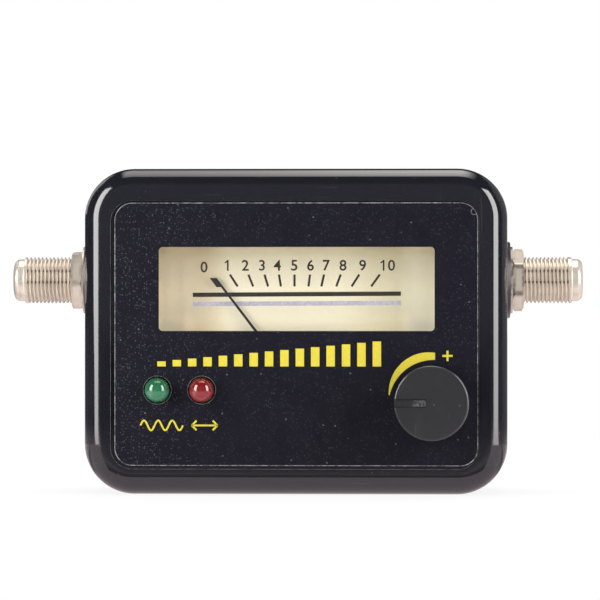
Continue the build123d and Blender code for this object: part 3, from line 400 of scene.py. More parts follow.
class Finish(Graph):
    """A named material, with short calls for its nodes."""

    def __init__(self, name):
        self.name = name
        self.material = bpy.data.materials.new(name)
        self.material.use_nodes = True
        super().__init__(self.material.node_tree)
        self.shader = self.tree.nodes["Principled BSDF"]
        self.output = self.tree.nodes["Material Output"]
        self.place = self.node("ShaderNodeTexCoord").outputs["Object"]

    def look(self, **inputs):
        """Sets the shader's own sockets, named with underscores for spaces."""
        for key, value in inputs.items():
            self.set(self.shader.inputs[key.replace("_", " ")], value)

    def noise(self, per_mm, detail=3.0, roughness=0.55, place=None):
        """Noise with so many features to a millimetre."""
        inputs = {
            "Vector": place or self.place,
            "Scale": per_mm / mm,
            "Detail": detail,
            "Roughness": roughness,
        }
        return self.node("ShaderNodeTexNoise", inputs).outputs["Fac"]

    def spots(self, per_mm, channel=0):
        """Distance to the nearest spot and its random value, with so many to a millimetre."""
        made = self.node("ShaderNodeTexVoronoi", {"Vector": self.place, "Scale": per_mm / mm})
        colour = self.node("ShaderNodeSeparateColor", {"Color": made.outputs["Color"]})
        return made.outputs["Distance"], colour.outputs[channel]

    def stretched(self, x, y, z, turn=(0, 0, 0)):
        """Object coordinates scaled along each axis, for streaks."""
        inputs = {"Vector": self.place, "Scale": (x, y, z), "Rotation": turn}
        return self.node("ShaderNodeMapping", inputs).outputs["Vector"]

    def mix(self, factor, first, second):
        """Two colours mixed."""
        inputs = {0: factor, 6: first, 7: second}
        return self.node("ShaderNodeMix", inputs, data_type="RGBA").outputs[2]

    def parts(self):
        """The x, y and z of the object coordinates."""
        return self.split(self.place)

    def bump(self, height, depth):
        """A bump of a depth in metres into the shader's normal."""
        made = self.node("ShaderNodeBump", {"Height": height, "Distance": depth, "Strength": 1.0})
        self.look(Normal=made.outputs["Normal"])

    def glow(self, colour, strength):
        """A shader that gives off light."""
        made = self.node("ShaderNodeEmission", {"Color": colour, "Strength": strength})
        return made.outputs["Emission"]

    def blend(self, factor, first, second):
        """Two shaders mixed."""
        return self.node("ShaderNodeMixShader", {0: factor, 1: first, 2: second}).outputs["Shader"]

    def shade_with(self, shader):
        """Puts another shader in place of the usual one."""
        self.tree.nodes.remove(self.shader)
        self.tree.links.new(shader, self.output.inputs["Surface"])


def times(colour, share):
    """A colour times a share, and at most 1."""
    return tuple(min(c * share, 1) for c in colour)


def moulded_plastic(name, colour, roughness, grain_per_mm, grain_depth, spread):
    """Moulded plastic: a colour with faint clouds, and a fine grain in gloss and surface."""
    finish = Finish(name)
    cloud = finish.noise(0.12, 4)
    grain = finish.noise(grain_per_mm, 2)
    finish.look(
        Base_Color=finish.mix(cloud, times(colour, 1 - spread), times(colour, 1 + spread)),
        Roughness=finish.ramp(grain, 0.3, 0.7, roughness * 0.85, roughness * 1.15),
        IOR=1.5,
    )
    finish.bump(grain, grain_depth)
    return finish


def worked_metal(name, colour, roughness, streak, tarnish=0.25):
    """Bare or plated metal: streaks of a scale along each axis in its gloss, and cloudy tarnish."""
    finish = Finish(name)
    cloud = finish.ramp(finish.noise(0.35, 5), 0.42, 0.7)
    lines = finish.noise(2.0, 3, 0.6, finish.stretched(*streak))
    finish.look(
        Base_Color=finish.mix(cloud, colour, times(colour, 1 - tarnish)),
        Metallic=1.0,
        Roughness=finish.ramp(lines, 0.25, 0.75, roughness * 0.7, roughness * 1.4),
    )
    finish.bump(lines, 0.004 * mm)
    return finish


def case_black():
    """Glossy black moulding: smudges, hair scratches, dust, matt port rings, the seam's groove."""
    finish = Finish("case_black")
    x, y, _ = finish.parts()
    smudge = finish.ramp(finish.noise(0.05, 5, 0.6), 0.35, 0.75)
    hair_a = finish.noise(1.6, 2, 0.5, finish.stretched(0.06, 1, 1.4, (0, 0.5, 0)))
    hair_b = finish.noise(1.8, 2, 0.5, finish.stretched(1.5, 1, 0.05, (0, -0.35, 0)))
    scratch = finish.largest(finish.ramp(hair_a, 0.70, 0.74), finish.ramp(hair_b, 0.71, 0.75))
    distance, chance = finish.spots(0.7)
    dust = finish.product(finish.ramp(distance, 0.10, 0.05), finish.ramp(chance, 0.80, 0.82))
    marks = finish.total(finish.product(scratch, 0.16), finish.product(dust, 0.55))
    ring = finish.ramp(finish.off(x), case_side + 0.05 * mm, case_side + 0.15 * mm)
    gloss = finish.total(finish.ramp(smudge, 0, 1, 0.05, 0.13), finish.product(marks, 0.3))
    finish.look(
        Base_Color=finish.mix(marks, (0.0088, 0.0092, 0.0134), (0.10, 0.10, 0.105)),
        Roughness=finish.total(gloss, finish.product(ring, 0.30)),
        IOR=1.5,
        Specular_IOR_Level=0.9,
        Coat_Weight=0.6,
        Coat_Roughness=finish.ramp(ring, 0, 1, 0.04, 0.34),
    )
    groove = finish.ramp(finish.off(y, seam_y), 0.05 * mm, 0.22 * mm)
    ripple = finish.product(finish.noise(0.25, 2), 0.02)
    finish.bump(finish.total(groove, ripple), 0.12 * mm)
    return finish


def label_film():
    """Matt dark blue film: light specks, most of all at its left, mottling and crumbs of dust."""
    finish = Finish("label_film")
    mottle = finish.noise(0.25, 5, 0.65)
    distance, chance = finish.spots(2.6)
    speck = finish.product(finish.ramp(distance, 0.40, 0.15), finish.ramp(chance, 0.35, 0.95))
    patchy = finish.ramp(finish.noise(0.10, 3), 0.38, 0.66, 0.3, 0.75)
    crowded = finish.ramp(finish.parts()[0], -30 * mm, -12 * mm, 1.0, 0.0)
    speck = finish.product(speck, finish.total(patchy, crowded))
    distance, chance = finish.spots(0.33, 1)
    crumb = finish.product(finish.ramp(distance, 0.075, 0.04), finish.ramp(chance, 0.6, 0.62))
    base = finish.mix(mottle, (0.0062, 0.0060, 0.0122), (0.0078, 0.0076, 0.0146))
    sparkle = finish.mix(finish.product(speck, 0.62), base, (0.11, 0.11, 0.135))
    finish.look(
        Base_Color=finish.mix(finish.product(crumb, 0.6), sparkle, (0.15, 0.155, 0.19)),
        Roughness=finish.ramp(mottle, 0.3, 0.7, 0.40, 0.47),
        IOR=1.4,
        Specular_IOR_Level=0.4,
    )
    finish.bump(finish.noise(3.0, 2), 0.01 * mm)
    return finish


def cut_edge(name, bright, dim, coverage, flecks=0.0):
    """The pale cut edge of the film, brighter and fainter along its length, with breaks.

    Given a share of flecks, the edge also has bright flecks, most of all round its lower right
    corner.
    """
    finish = Finish(name)
    broken = finish.ramp(finish.noise(0.7, 4, 0.7), 0.62 - coverage / 3, 0.78 - coverage / 3)
    colour = finish.mix(broken, dim, bright)
    if flecks:
        x, _, z = finish.parts()
        beside = finish.ramp(x, film_high.x - 7 * mm, film_high.x - 2 * mm)
        below = finish.ramp(z, film_low.z + 7 * mm, film_low.z + 2 * mm)
        corner = finish.ramp(finish.product(beside, below), 0, 0.5, 0.4, 1)
        fleck = finish.ramp(finish.noise(1.5, 2, 0.6), 0.50, 0.60)
        colour = finish.mix(finish.product(fleck, corner, flecks), colour, (0.62, 0.62, 0.64))
    finish.look(Base_Color=colour, Roughness=0.4)
    finish.bump(finish.noise(2.5, 2), 0.02 * mm)
    return finish


def recess_cut():
    """The edge of the film's recess: dark, with a painted highlight along its left and lower sides.
    """
    finish = Finish("recess_cut")
    x, _, z = finish.parts()
    left, foot = recess_x - recess_width / 2, recess_z - recess_height / 2
    beside = finish.ramp(x, left + 3 * mm, left + 1 * mm)
    below = finish.ramp(z, foot + 3 * mm, foot + 1 * mm)
    unbroken = finish.ramp(finish.noise(0.6, 4, 0.7), 0.36, 0.56)
    # Painted highlight along the left and lower sides
    lit = finish.product(unbroken, finish.largest(beside, below))
    colour = finish.mix(lit, (0.035, 0.035, 0.037), (0.17, 0.17, 0.175))
    finish.look(Base_Color=colour, Roughness=0.4)
    finish.bump(finish.noise(2.5, 2), 0.02 * mm)
    return finish


def yellow_ink():
    """Screen printed yellow, a little uneven in cover."""
    finish = Finish("yellow_ink")
    cover = finish.noise(1.4, 4, 0.7)
    thick = finish.ramp(cover, 0.3, 0.75)
    finish.look(
        Base_Color=finish.mix(thick, (0.645, 0.535, 0.036), (0.71, 0.595, 0.052)),
        Roughness=finish.ramp(cover, 0.3, 0.7, 0.38, 0.5),
    )
    finish.bump(finish.noise(3.0, 2), 0.01 * mm)
    return finish


def dial_card():
    """Cream printed card with paper grain, and painted light and shade.

    It has painted shade above and painted light at its foot. A browner painted shade lies a
    little in from each end, painted light lies on the ends themselves, and the lower corners
    carry painted light again.
    """
    finish = Finish("dial_card")
    x, _, z = finish.parts()
    fibre = finish.noise(1.2, 5, 0.7)
    # Painted shade above and painted light at the foot of the card
    painted_shade_above = finish.ramp(z, centre_z + 7.5 * mm, centre_z + 12 * mm)
    top = finish.ramp(z, centre_z + 13 * mm, centre_z + 17.5 * mm)
    foot = finish.ramp(z, centre_z + 5.0 * mm, centre_z + 0.6 * mm)
    cream_with_painted_shade_and_light = finish.mix(painted_shade_above, (0.805, 0.725, 0.550), (0.735, 0.652, 0.485))
    cream_with_painted_shade_and_light = finish.mix(top, cream_with_painted_shade_and_light, (0.780, 0.670, 0.450))
    cream_with_painted_shade_and_light = finish.mix(foot, cream_with_painted_shade_and_light, (0.970, 0.860, 0.640))
    # Painted shade a little in from each end, then painted light at the ends
    tint = finish.mix(finish.ramp(x, -12.5 * mm, -19 * mm), (1, 1, 1), (0.789, 0.731, 0.655))
    tint = finish.mix(finish.ramp(x, 8 * mm, 18 * mm), tint, (0.83, 0.82, 0.755))
    tint = finish.mix(finish.ramp(x, -19.5 * mm, -26 * mm), tint, (1.15, 1.06, 0.975))
    tint = finish.mix(finish.ramp(x, 20 * mm, 25 * mm), tint, (1.20, 1.20, 1.19))
    # Painted light in the lower corners
    low = finish.ramp(z, centre_z + 4.5 * mm, centre_z + 1.5 * mm)
    left_corner_painted_light = finish.product(low, finish.ramp(x, -19 * mm, -25 * mm))
    right_corner_painted_light = finish.product(low, finish.ramp(x, 21 * mm, 25 * mm))
    tint = finish.mix(left_corner_painted_light, tint, (1.13, 1.02, 1.00))
    tint = finish.mix(right_corner_painted_light, tint, (1.16, 1.085, 1.13))
    tint = finish.mix(finish.ramp(fibre, 0.3, 0.7, 0, 0.03), tint, (0, 0, 0))
    tinted = finish.node("ShaderNodeVectorMath", {0: cream_with_painted_shade_and_light, 1: tint}, operation="MULTIPLY")
    lightest = {0: tinted.outputs["Vector"], 1: (0.98, 0.98, 0.98)}
    paint = finish.node("ShaderNodeVectorMath", lightest, operation="MINIMUM")
    roughness = finish.ramp(fibre, 0.3, 0.7, 0.55, 0.7)
    finish.look(Base_Color=paint.outputs["Vector"], Roughness=roughness)
    finish.bump(fibre, 0.008 * mm)
    return finish


def dial_ink(name, colour):
    """Dial print in one ink, with the slight unevenness of offset print."""
    finish = Finish(name)
    cover = finish.ramp(finish.noise(2.0, 3, 0.7), 0.35, 0.75)
    finish.look(Base_Color=finish.mix(cover, colour, times(colour, 1.3)), Roughness=0.5)
    return finish


def clear_window():
    """Clear moulded window: what lies behind shows straight through, and its faces still mirror."""
    finish = Finish("window_clear")
    haze = finish.noise(0.3, 4)
    inside = finish.node("ShaderNodeNewGeometry").outputs["Backfacing"]
    fresnel = finish.node("ShaderNodeFresnel", {"IOR": 1.49}).outputs["Fac"]
    clear = finish.node("ShaderNodeBsdfTransparent", {"Color": (0.995, 1, 0.995)})
    mirror_inputs = {"Color": (1, 1, 1), "Roughness": finish.ramp(haze, 0.3, 0.7, 0.02, 0.06)}
    mirror = finish.node("ShaderNodeBsdfAnisotropic", mirror_inputs)
    share = finish.product(fresnel, finish.less(1.0, inside))
    finish.shade_with(finish.blend(share, clear.outputs["BSDF"], mirror.outputs["BSDF"]))
    return finish


def lamp_lens(name, deep, bright):
    """A tinted lamp lens: glossy, deeper above, with painted light in its lower half for the light
    that it gathers.
    """
    finish = Finish(name)
    low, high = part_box("green_led")
    middle = (low.z + high.z) / 2
    # Painted light: the lower half of the lens is paler
    glow = finish.ramp(finish.parts()[2], middle - 0.5 * mm, middle + 0.2 * mm, 1, 0)
    swirl = finish.noise(0.5, 2)
    body = finish.total(finish.product(glow, 0.8), finish.product(swirl, 0.25))
    finish.look(
        Base_Color=finish.mix(body, deep, bright),
        Roughness=finish.ramp(swirl, 0.3, 0.7, 0.06, 0.12),
        IOR=1.54,
        Coat_Weight=1.0,
        Coat_Roughness=0.05,
        Coat_IOR=1.8,
    )
    return finish


def knob_grey():
    """Satin grey knob: fine moulding grain, scratches, nicks, a paler inner end of its slot, and
    painted shade along the slot's sides.
    """
    finish = Finish("knob_grey")
    grain = finish.noise(4.0, 2)
    rub = finish.ramp(finish.noise(0.3, 5, 0.7), 0.5, 0.75)
    hair = finish.noise(1.6, 2, 0.5, finish.stretched(1.4, 1, 0.08, (0, 0.9, 0)))
    scratch = finish.ramp(hair, 0.69, 0.73)
    x, y, z = finish.parts()
    aside = finish.off(z, knob_z)
    inward = finish.ramp(x, knob_x - 0.9 * mm, knob_x - 1.1 * mm)
    deep = finish.ramp(y, knob_low.y + 0.10 * mm, knob_low.y + 0.16 * mm)
    slot = finish.product(inward, deep, finish.ramp(y, 0, 0.1 * mm, 1, 0))
    # The inner end of the slot is paler, in streaks
    slot_end = finish.ramp(x, knob_x - 3.9 * mm, knob_x - 3.3 * mm)
    paler_slot_end = finish.product(slot_end, slot, finish.ramp(aside, 0.75 * mm, 0.55 * mm))
    slot_end_streaks = finish.ramp(finish.noise(1.3, 4, 0.7, finish.stretched(1.6, 1, 0.7)), 0.4, 0.6)
    distance, chance = finish.spots(0.45)
    nick = finish.product(finish.ramp(distance, 0.13, 0.06), finish.ramp(chance, 0.58, 0.61))
    marks = finish.total(finish.product(scratch, 0.3), finish.product(paler_slot_end, slot_end_streaks))
    marks = finish.largest(marks, finish.product(nick, 0.5))
    # Painted shade along the sides of the slot
    corner = finish.product(slot, finish.ramp(aside, 0.62 * mm, 0.82 * mm))
    base = finish.mix(rub, (0.025, 0.025, 0.0285), (0.031, 0.031, 0.0355))
    base = finish.mix(finish.product(corner, 0.75), base, (0.006, 0.006, 0.006))
    finish.look(
        Base_Color=finish.mix(marks, base, (0.13, 0.13, 0.135)),
        Roughness=finish.ramp(rub, 0, 1, 0.34, 0.42),
        IOR=1.5,
        Coat_Weight=1.0,
        Coat_Roughness=0.07,
        Coat_IOR=1.75,
    )
    finish.bump(grain, 0.006 * mm)
    return finish


def nickel():
    """Nickel plate with turning marks, cloudy tone and painted shade on the upper faces.

    Dirt with painted shade lies in rows in the thread's roots and round the flats of the nuts. The
    end rims are darker, the left one with painted shade in place of its highlight.
    """
    finish = Finish("nickel")
    axis = (nut_low + nut_high) / 2
    turned = finish.noise(3.0, 2, 0.5, finish.stretched(3, 0.3, 0.3))
    cloud = finish.ramp(finish.noise(0.25, 3, 0.5), 0.45, 0.75)
    x, _, z = finish.parts()
    across = {"Vector": finish.place, "Location": (0, -axis.y, -axis.z), "Scale": (0, 1, 1)}
    radius = finish.length(finish.node("ShaderNodeMapping", across).outputs["Vector"])
    height = finish.less(z, axis.z)

    # Dirt in the thread's roots, with painted shade in rows along them
    threaded = finish.ramp(finish.off(x), thread_end, thread_end - 0.3 * mm)
    root = finish.product(finish.ramp(radius, thread_root, thread_crest, 1, 0), threaded)
    rows = finish.ramp(finish.off(height, 0.7 * mm), 1.0 * mm, 1.3 * mm, 0.22, 0.06)
    for row_height, row_shade in root_shade_rows:
        row = finish.ramp(finish.off(height, row_height), 0.12 * mm, 0.42 * mm, row_shade, 0)
        rows = finish.largest(row, rows)
    root_dirt_and_painted_shade = finish.product(root, rows, finish.ramp(turned, 0.3, 0.7, 0.8, 1))

    # Painted shade on the upper faces, heavier towards the right; the tarnish mask below is this
    # painted shade
    beyond = finish.ramp(radius, thread_crest + 0.3 * mm, thread_crest + 0.5 * mm)
    painted_shade_above = finish.product(finish.ramp(height, 3.1 * mm, 3.7 * mm), beyond)
    share_to_the_right = finish.ramp(x, 0, 1 * mm, 0.14, 0.76)
    tarnish = finish.product(painted_shade_above, share_to_the_right, finish.ramp(cloud, 0, 1, 0.9, 1))

    # Dirt with painted shade round the flats of the nuts, at both their ends and their corners
    along = finish.total(finish.off(x), nut_high.x)
    thickness = nut_high.x - nut_low.x
    outer_end = finish.ramp(along, thickness - 0.7 * mm, thickness - 0.2 * mm)
    inner_end = finish.ramp(along, 0.8 * mm, 0.2 * mm)
    corner = finish.ramp(radius, nut_corner - 0.55 * mm, nut_corner - 0.2 * mm)
    facing = finish.ramp(finish.off(height), 3.4 * mm, 2.9 * mm, 0.35, 1)
    nut_edge_dirt_and_shade = finish.largest(outer_end, inner_end, corner)
    nut_edge_dirt_and_shade = finish.product(nut_edge_dirt_and_shade, beyond, facing, finish.ramp(x, 0, 1 * mm, 0.55, 1))

    patchy = finish.ramp(finish.noise(0.55, 3, 0.6), 0.38, 0.6, 0.25, 0.8)
    # The end rims are darker: the right one in patches, the left one with painted shade in place of
    # its highlight
    rim = finish.ramp(finish.off(x), rim_end - 1.1 * mm, rim_end - 0.1 * mm)
    right_rim_darker = finish.product(rim, finish.ramp(x, -1 * mm, 0))
    left_rim_painted_shade = finish.product(rim, finish.ramp(x, 0, -1 * mm))

    plate = finish.mix(cloud, (0.88, 0.79, 0.685), (0.80, 0.705, 0.60))
    plate = finish.mix(tarnish, plate, (0.12, 0.10, 0.08))
    plate = finish.mix(finish.product(nut_edge_dirt_and_shade, patchy), plate, (0.16, 0.12, 0.09))
    plate = finish.mix(finish.product(right_rim_darker, 0.55, patchy), plate, (0.30, 0.25, 0.21))
    plate = finish.mix(finish.product(left_rim_painted_shade, 0.8), plate, (0.20, 0.17, 0.145))
    gloss = finish.ramp(turned, 0.25, 0.75, 0.16, 0.24)
    finish.look(
        Base_Color=finish.mix(root_dirt_and_painted_shade, plate, (0.10, 0.075, 0.055)),
        Metallic=0.52,
        Roughness=finish.total(gloss, finish.product(left_rim_painted_shade, 0.3)),
    )
    finish.bump(turned, 0.002 * mm)
    return finish


def green_board():
    """Glass fibre board under green lacquer, with a weave that shows faintly."""
    finish = Finish("board_green")
    weave_x = finish.noise(1.0, 1, 0.5, finish.stretched(6, 1, 0.6))
    weave_z = finish.noise(1.0, 1, 0.5, finish.stretched(0.6, 1, 6))
    weave = finish.largest(weave_x, weave_z)
    fibre = finish.ramp(weave, 0.45, 0.7)
    finish.look(
        Base_Color=finish.mix(fibre, (0.010, 0.075, 0.030), (0.020, 0.13, 0.05)),
        Roughness=finish.ramp(weave, 0.4, 0.7, 0.28, 0.4),
    )
    finish.bump(weave, 0.02 * mm)
    return finish


def ceramic():
    """Small ceramic parts: a brown body, paler in clouds."""
    finish = Finish("ceramic")
    cloud = finish.noise(0.8, 3)
    paler = finish.ramp(cloud, 0.45, 0.6)
    finish.look(Base_Color=finish.mix(paler, (0.42, 0.30, 0.18), (0.50, 0.38, 0.25)), Roughness=0.4)
    finish.bump(cloud, 0.01 * mm)
    return finish


made_finishes = (
    case_black(),
    label_film(),
    worked_metal("screw_steel", (0.36, 0.35, 0.34), 0.3, (1, 1, 1)),
    clear_window(),
    moulded_plastic("meter_base", (0.86, 0.83, 0.73), 0.42, 2.5, 0.006 * mm, 0.05),
    dial_card(),
    moulded_plastic("pointer_black", (0.022, 0.023, 0.024), 0.45, 5, 0.004 * mm, 0.4),
    worked_metal("aluminium", (0.80, 0.80, 0.80), 0.3, (1, 4, 1)),
    worked_metal("copper_wire", (0.72, 0.33, 0.16), 0.3, (1, 6, 1), 0.35),
    worked_metal("pivot_steel", (0.6, 0.6, 0.6), 0.2, (1, 3, 1)),
    moulded_plastic("magnet", (0.12, 0.12, 0.125), 0.35, 3, 0.01 * mm, 0.25),
    worked_metal("soft_iron", (0.34, 0.33, 0.31), 0.4, (1, 3, 1), 0.3),
    worked_metal("brass", (0.78, 0.57, 0.25), 0.25, (1, 3, 1)),
    worked_metal("tinned_copper", (0.76, 0.75, 0.72), 0.3, (1, 4, 1)),
    lamp_lens("green_lens", (0.014, 0.130, 0.050), (0.048, 0.215, 0.115)),
    lamp_lens("red_lens", (0.175, 0.004, 0.004), (0.30, 0.034, 0.040)),
    knob_grey(),
    worked_metal("control_metal", (0.55, 0.54, 0.50), 0.35, (1, 4, 1)),
    moulded_plastic("phenolic", (0.20, 0.10, 0.045), 0.5, 1.5, 0.01 * mm, 0.3),
    green_board(),
    moulded_plastic("chip_black", (0.02, 0.02, 0.021), 0.5, 3, 0.01 * mm, 0.3),
    moulded_plastic("capacitor_sleeve", (0.012, 0.016, 0.05), 0.3, 2, 0.004 * mm, 0.3),
    ceramic(),
    nickel(),
    moulded_plastic("insulator", (0.56, 0.56, 0.53), 0.4, 2.5, 0.006 * mm, 0.05),
)
finishes = {finish.name: finish for finish in made_finishes}

for part in frame["record"]["subparts"]:
    cad_piece = nodes[part["node"]]
    for material_slot in cad_piece.material_slots:
        material_slot.material = finishes[part["material_slot"]].material


def dress(piece, finish):
    """Gives a new piece its material. All of them ride on the case."""
    piece.data.materials.append(finish.material)
    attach(piece, "case")


# Cut edges of the film, and a bead along the lip of its recess that carries a painted highlight
film_loop = rounded_loop(film_width, film_height, film_corner, film_x, film_z)
recess_loop = rounded_loop(recess_width, recess_height, recess_corner, recess_x, recess_z)
lamp_rings = []
for lamp in ("green_led", "red_led"):
    lamp_low, lamp_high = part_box(lamp)
    lamp_middle = (lamp_low + lamp_high) / 2
    lamp_rings.append(ring_loop(lamp_hole_radius, lamp_middle.x, lamp_middle.z))
film_edge = bead("film_edge", [film_loop], film_y, edge_radius)
film_cut = cut_edge("film_cut", (0.33, 0.33, 0.35), (0.07, 0.07, 0.078), 0.6, 0.9)
dress(film_edge, film_cut)
recess_edge_highlight = bead("recess_edge_highlight", [recess_loop], front_y + lip_radius, lip_radius)
dress(recess_edge_highlight, recess_cut())
bubble_loop = ring_loop(bubble_radius, bubble_x, bubble_z)
film_bubble = bead("film_bubble", [bubble_loop], film_y, lip_radius)
bubble_edge = cut_edge("bubble_edge", (0.22, 0.22, 0.23), (0.08, 0.08, 0.085), 0.8)
dress(film_bubble, bubble_edge)
hole_edges = bead("lamp_hole_edges", lamp_rings, film_y, lip_radius)
hole_cut = cut_edge("hole_cut", (0.21, 0.22, 0.21), (0.06, 0.06, 0.062), 0.7)
dress(hole_edges, hole_cut)

# Yellow print on the film: a row of rising bars
bar_count = 15
bar_left, bar_right = -27.9 * mm, 17.4 * mm
bar_foot = centre_z - 7.05 * mm
bar_low, bar_high = 1.0 * mm, 5.05 * mm
bar_share = 0.55
bar_pitch = (bar_right - bar_left) / (bar_count - 1 + bar_share)
bar_width = bar_share * bar_pitch
print_sheets = []
for bar in range(bar_count):
    bar_start = bar_left + bar * bar_pitch
    bar_top = bar_foot + bar_low + (bar_high - bar_low) * bar / (bar_count - 1)
    print_sheets.append(box_sheet(bar_start, bar_start + bar_width, bar_foot, bar_top))

# The band that swells round the knob, and a plus sign at its end
outer_angles = math.radians(81.4), math.radians(183.5)
inner_angles = math.radians(88.6), math.radians(167)
swell_outer = (27.07 * mm, centre_z - 12.31 * mm, 8.13 * mm, *outer_angles)
swell_inner = (28.06 * mm, centre_z - 14.88 * mm, 9.17 * mm, *inner_angles)
print_sheets.append(swell_sheet(swell_outer, swell_inner))
plus_x, plus_z = 30.8 * mm, centre_z - 4.9 * mm
plus_reach, plus_half = 1.05 * mm, 0.21 * mm
plus_bars = (
    (plus_reach, -plus_half, plus_half),
    (plus_half, plus_half, plus_reach),
    (plus_half, -plus_reach, -plus_half),
)
for side, foot, top in plus_bars:
    print_sheets.append(box_sheet(plus_x - side, plus_x + side, plus_z + foot, plus_z + top))

# A wave and a double arrow beside the lamps
mark_z = centre_z - 19.0 * mm
mark_stroke = 0.36 * mm
wave_x, wave_length, wave_height, wave_turns = -27.0 * mm, 8.6 * mm, 2.0 * mm, 3
wave = wave_sheet(wave_x, mark_z, wave_length, wave_height, wave_turns, mark_stroke)
print_sheets.append(wave)
arrow_x, arrow_half, arrow_barb = -18.3 * mm, 2.6 * mm, 0.95 * mm
arrow_ends = [(arrow_x + side * arrow_half, mark_z) for side in (-1, 1)]
print_sheets.append(line_sheet(*arrow_ends, mark_stroke))
for side, tip in zip((-1, 1), arrow_ends):
    for end in (-1, 1):
        barb = (tip[0] - side * arrow_barb, mark_z + end * arrow_barb)
        print_sheets.append(line_sheet(tip, barb, mark_stroke))
film_print = ink("film_print", print_sheets, film_y)
dress(film_print, yellow_ink())

# Dial print: marks that point at the pointer's pivot, plain numbers and two bars
mark_width = 0.45 * mm
mark_top = centre_z + 11.56 * mm
mark_bottom = centre_z + 9.13 * mm
mark_tops = np.array([-13.43, -9.66, -6.38, -3.42, -0.26, 2.90, 5.76, 9.14, 12.93, 17.11]) * mm
mark_bottoms = np.array([-11.84, -8.68, -5.64, -3.03, -0.26, 2.59, 5.20, 8.24, 11.36, 15.34]) * mm
number_places = [-18.71, -13.98, -10.29, -6.89, -3.77, -0.32, 3.00, 6.24, 9.61, 13.61, 18.62]
number_z = centre_z + 13.44 * mm
number_height = 2.2 * mm
zero_drop = 0.35 * mm
dial_left, dial_right = -21.0 * mm, 21.4 * mm


def dial_bar(left_height, right_height, width):
    """A bar along the dial, between two heights above the middle of the case."""
    start, end = (dial_left, centre_z + left_height), (dial_right, centre_z + right_height)
    return line_sheet(start, end, width)


dial_sheets = [
    line_sheet((top, mark_top), (bottom, mark_bottom), mark_width)
    for top, bottom in zip(mark_tops, mark_bottoms)
]
dark_bar = dial_bar(left_height=7.43 * mm, right_height=7.68 * mm, width=0.88 * mm)
pale_bar = dial_bar(left_height=5.58 * mm, right_height=5.78 * mm, width=0.92 * mm)
dial_sheets.append(dark_bar)
for number, place in enumerate(number_places):
    number_drop = zero_drop if number == 0 else 0
    dial_sheets += number_sheets(number, number_height, place * mm, number_z - number_drop)
dial_print = ink("dial_print", dial_sheets, dial_y)
dress(dial_print, dial_ink("dial_black", (0.028, 0.024, 0.018)))
dial_pale_bar = ink("dial_pale_bar", [pale_bar], dial_y)
dress(dial_pale_bar, dial_ink("dial_lilac", (0.43, 0.40, 0.47)))


# Studio: a pale floor, soft lamps at both sides and above, and cards that only mirrors see
lamp_watts = math.pi
world_soft = 0.36
world_front = 0.12
world_dark = 0.03
world_far = 1.0
white = (1, 1, 1)
lamp_tint = (1, 0.985, 0.965)
top_tint = (1, 0.94, 0.90)
mirror_tint = (1, 0.86, 0.89)
floor_grey = (0.82, 0.82, 0.82)
floor_reach = 3
square = ((-1, -1), (1, -1), (1, 1), (-1, 1))

# The two tall side lamps: azimuth in degrees, width, radiance and the radiance of the card
side_lamps = ((-57.7, 0.152, 7.5, 5.4), (59.0, 0.143, 7.2, 4.8))
side_reach = 0.34
side_height = 0.33

# The left card's foot narrows from its far side by this much, over an edge this soft
foot_narrowing = 38 * mm
foot_softness = 6 * mm


def lamp_directions(finish, azimuth):
    """How far out towards a side lamp a place lies, and how far aside of its middle."""
    x, y, _ = finish.parts()
    turn = math.radians(azimuth)
    outward = finish.less(finish.product(x, math.sin(turn)), finish.product(y, math.cos(turn)))
    aside = finish.total(finish.product(x, math.cos(turn)), finish.product(y, math.sin(turn)))
    return outward, aside


def kept_side(finish, aside, width, cut):
    """A share that is 1 over a lamp's width, and 0 where a cut is taken from its far side."""
    kept = finish.less(finish.total(aside, width / 2), cut)
    return finish.ramp(kept, -foot_softness, foot_softness)


def mirrored_floor(finish, reach):
    """How bright mirrors see the floor: pale near the object, and dark in front of the case.

    It is darker again beside the case, and the beams of the side lamps lie on it further out.
    """
    x, y, _ = finish.parts()
    near = finish.ramp(reach, 0.10, 0.45, 1, 0.12)
    outside = finish.largest(finish.less(finish.off(x), case_side), 0.0)
    line = finish.total(y, finish.product(outside, 1.8))
    ahead = finish.ramp(line, front_y - 8.5 * mm, front_y - 6 * mm, 1, 0)
    depth = finish.total(
        finish.ramp(y, front_y - 22 * mm, front_y - 10 * mm, 0.50, 0.80),
        finish.ramp(y, front_y - 30 * mm, front_y - 75 * mm, 0, 0.20),
    )
    level = finish.ramp(finish.off(x), 44 * mm, 54 * mm, 0.64, 0.72)
    beside = finish.ramp(finish.off(x), 42 * mm, 50 * mm)
    under = finish.product(
        finish.ramp(y, front_y + 4 * mm, front_y + 12 * mm, 0, 0.65),
        finish.ramp(y, front_y + 22 * mm, front_y + 15 * mm),
    )
    shaded = finish.product(
        finish.less(1.0, finish.product(ahead, depth)),
        finish.less(1.0, finish.product(beside, under)),
    )
    mirrored = finish.product(near, level, shaded)
    for azimuth, width, _, card_radiance in side_lamps:
        outward, aside = lamp_directions(finish, azimuth)
        beam = finish.ramp(finish.off(aside), width / 2 + 3 * mm, width / 2 - 3 * mm)
        if azimuth < 0:
            cut = finish.ramp(outward, side_reach - 0.10, side_reach, 70 * mm, foot_narrowing)
            beam = finish.product(beam, kept_side(finish, aside, width, cut))
        sheen = finish.ramp(outward, 0.14, 0.26, 0, card_radiance * 0.72)
        mirrored = finish.largest(mirrored, finish.product(beam, sheen))
    return mirrored


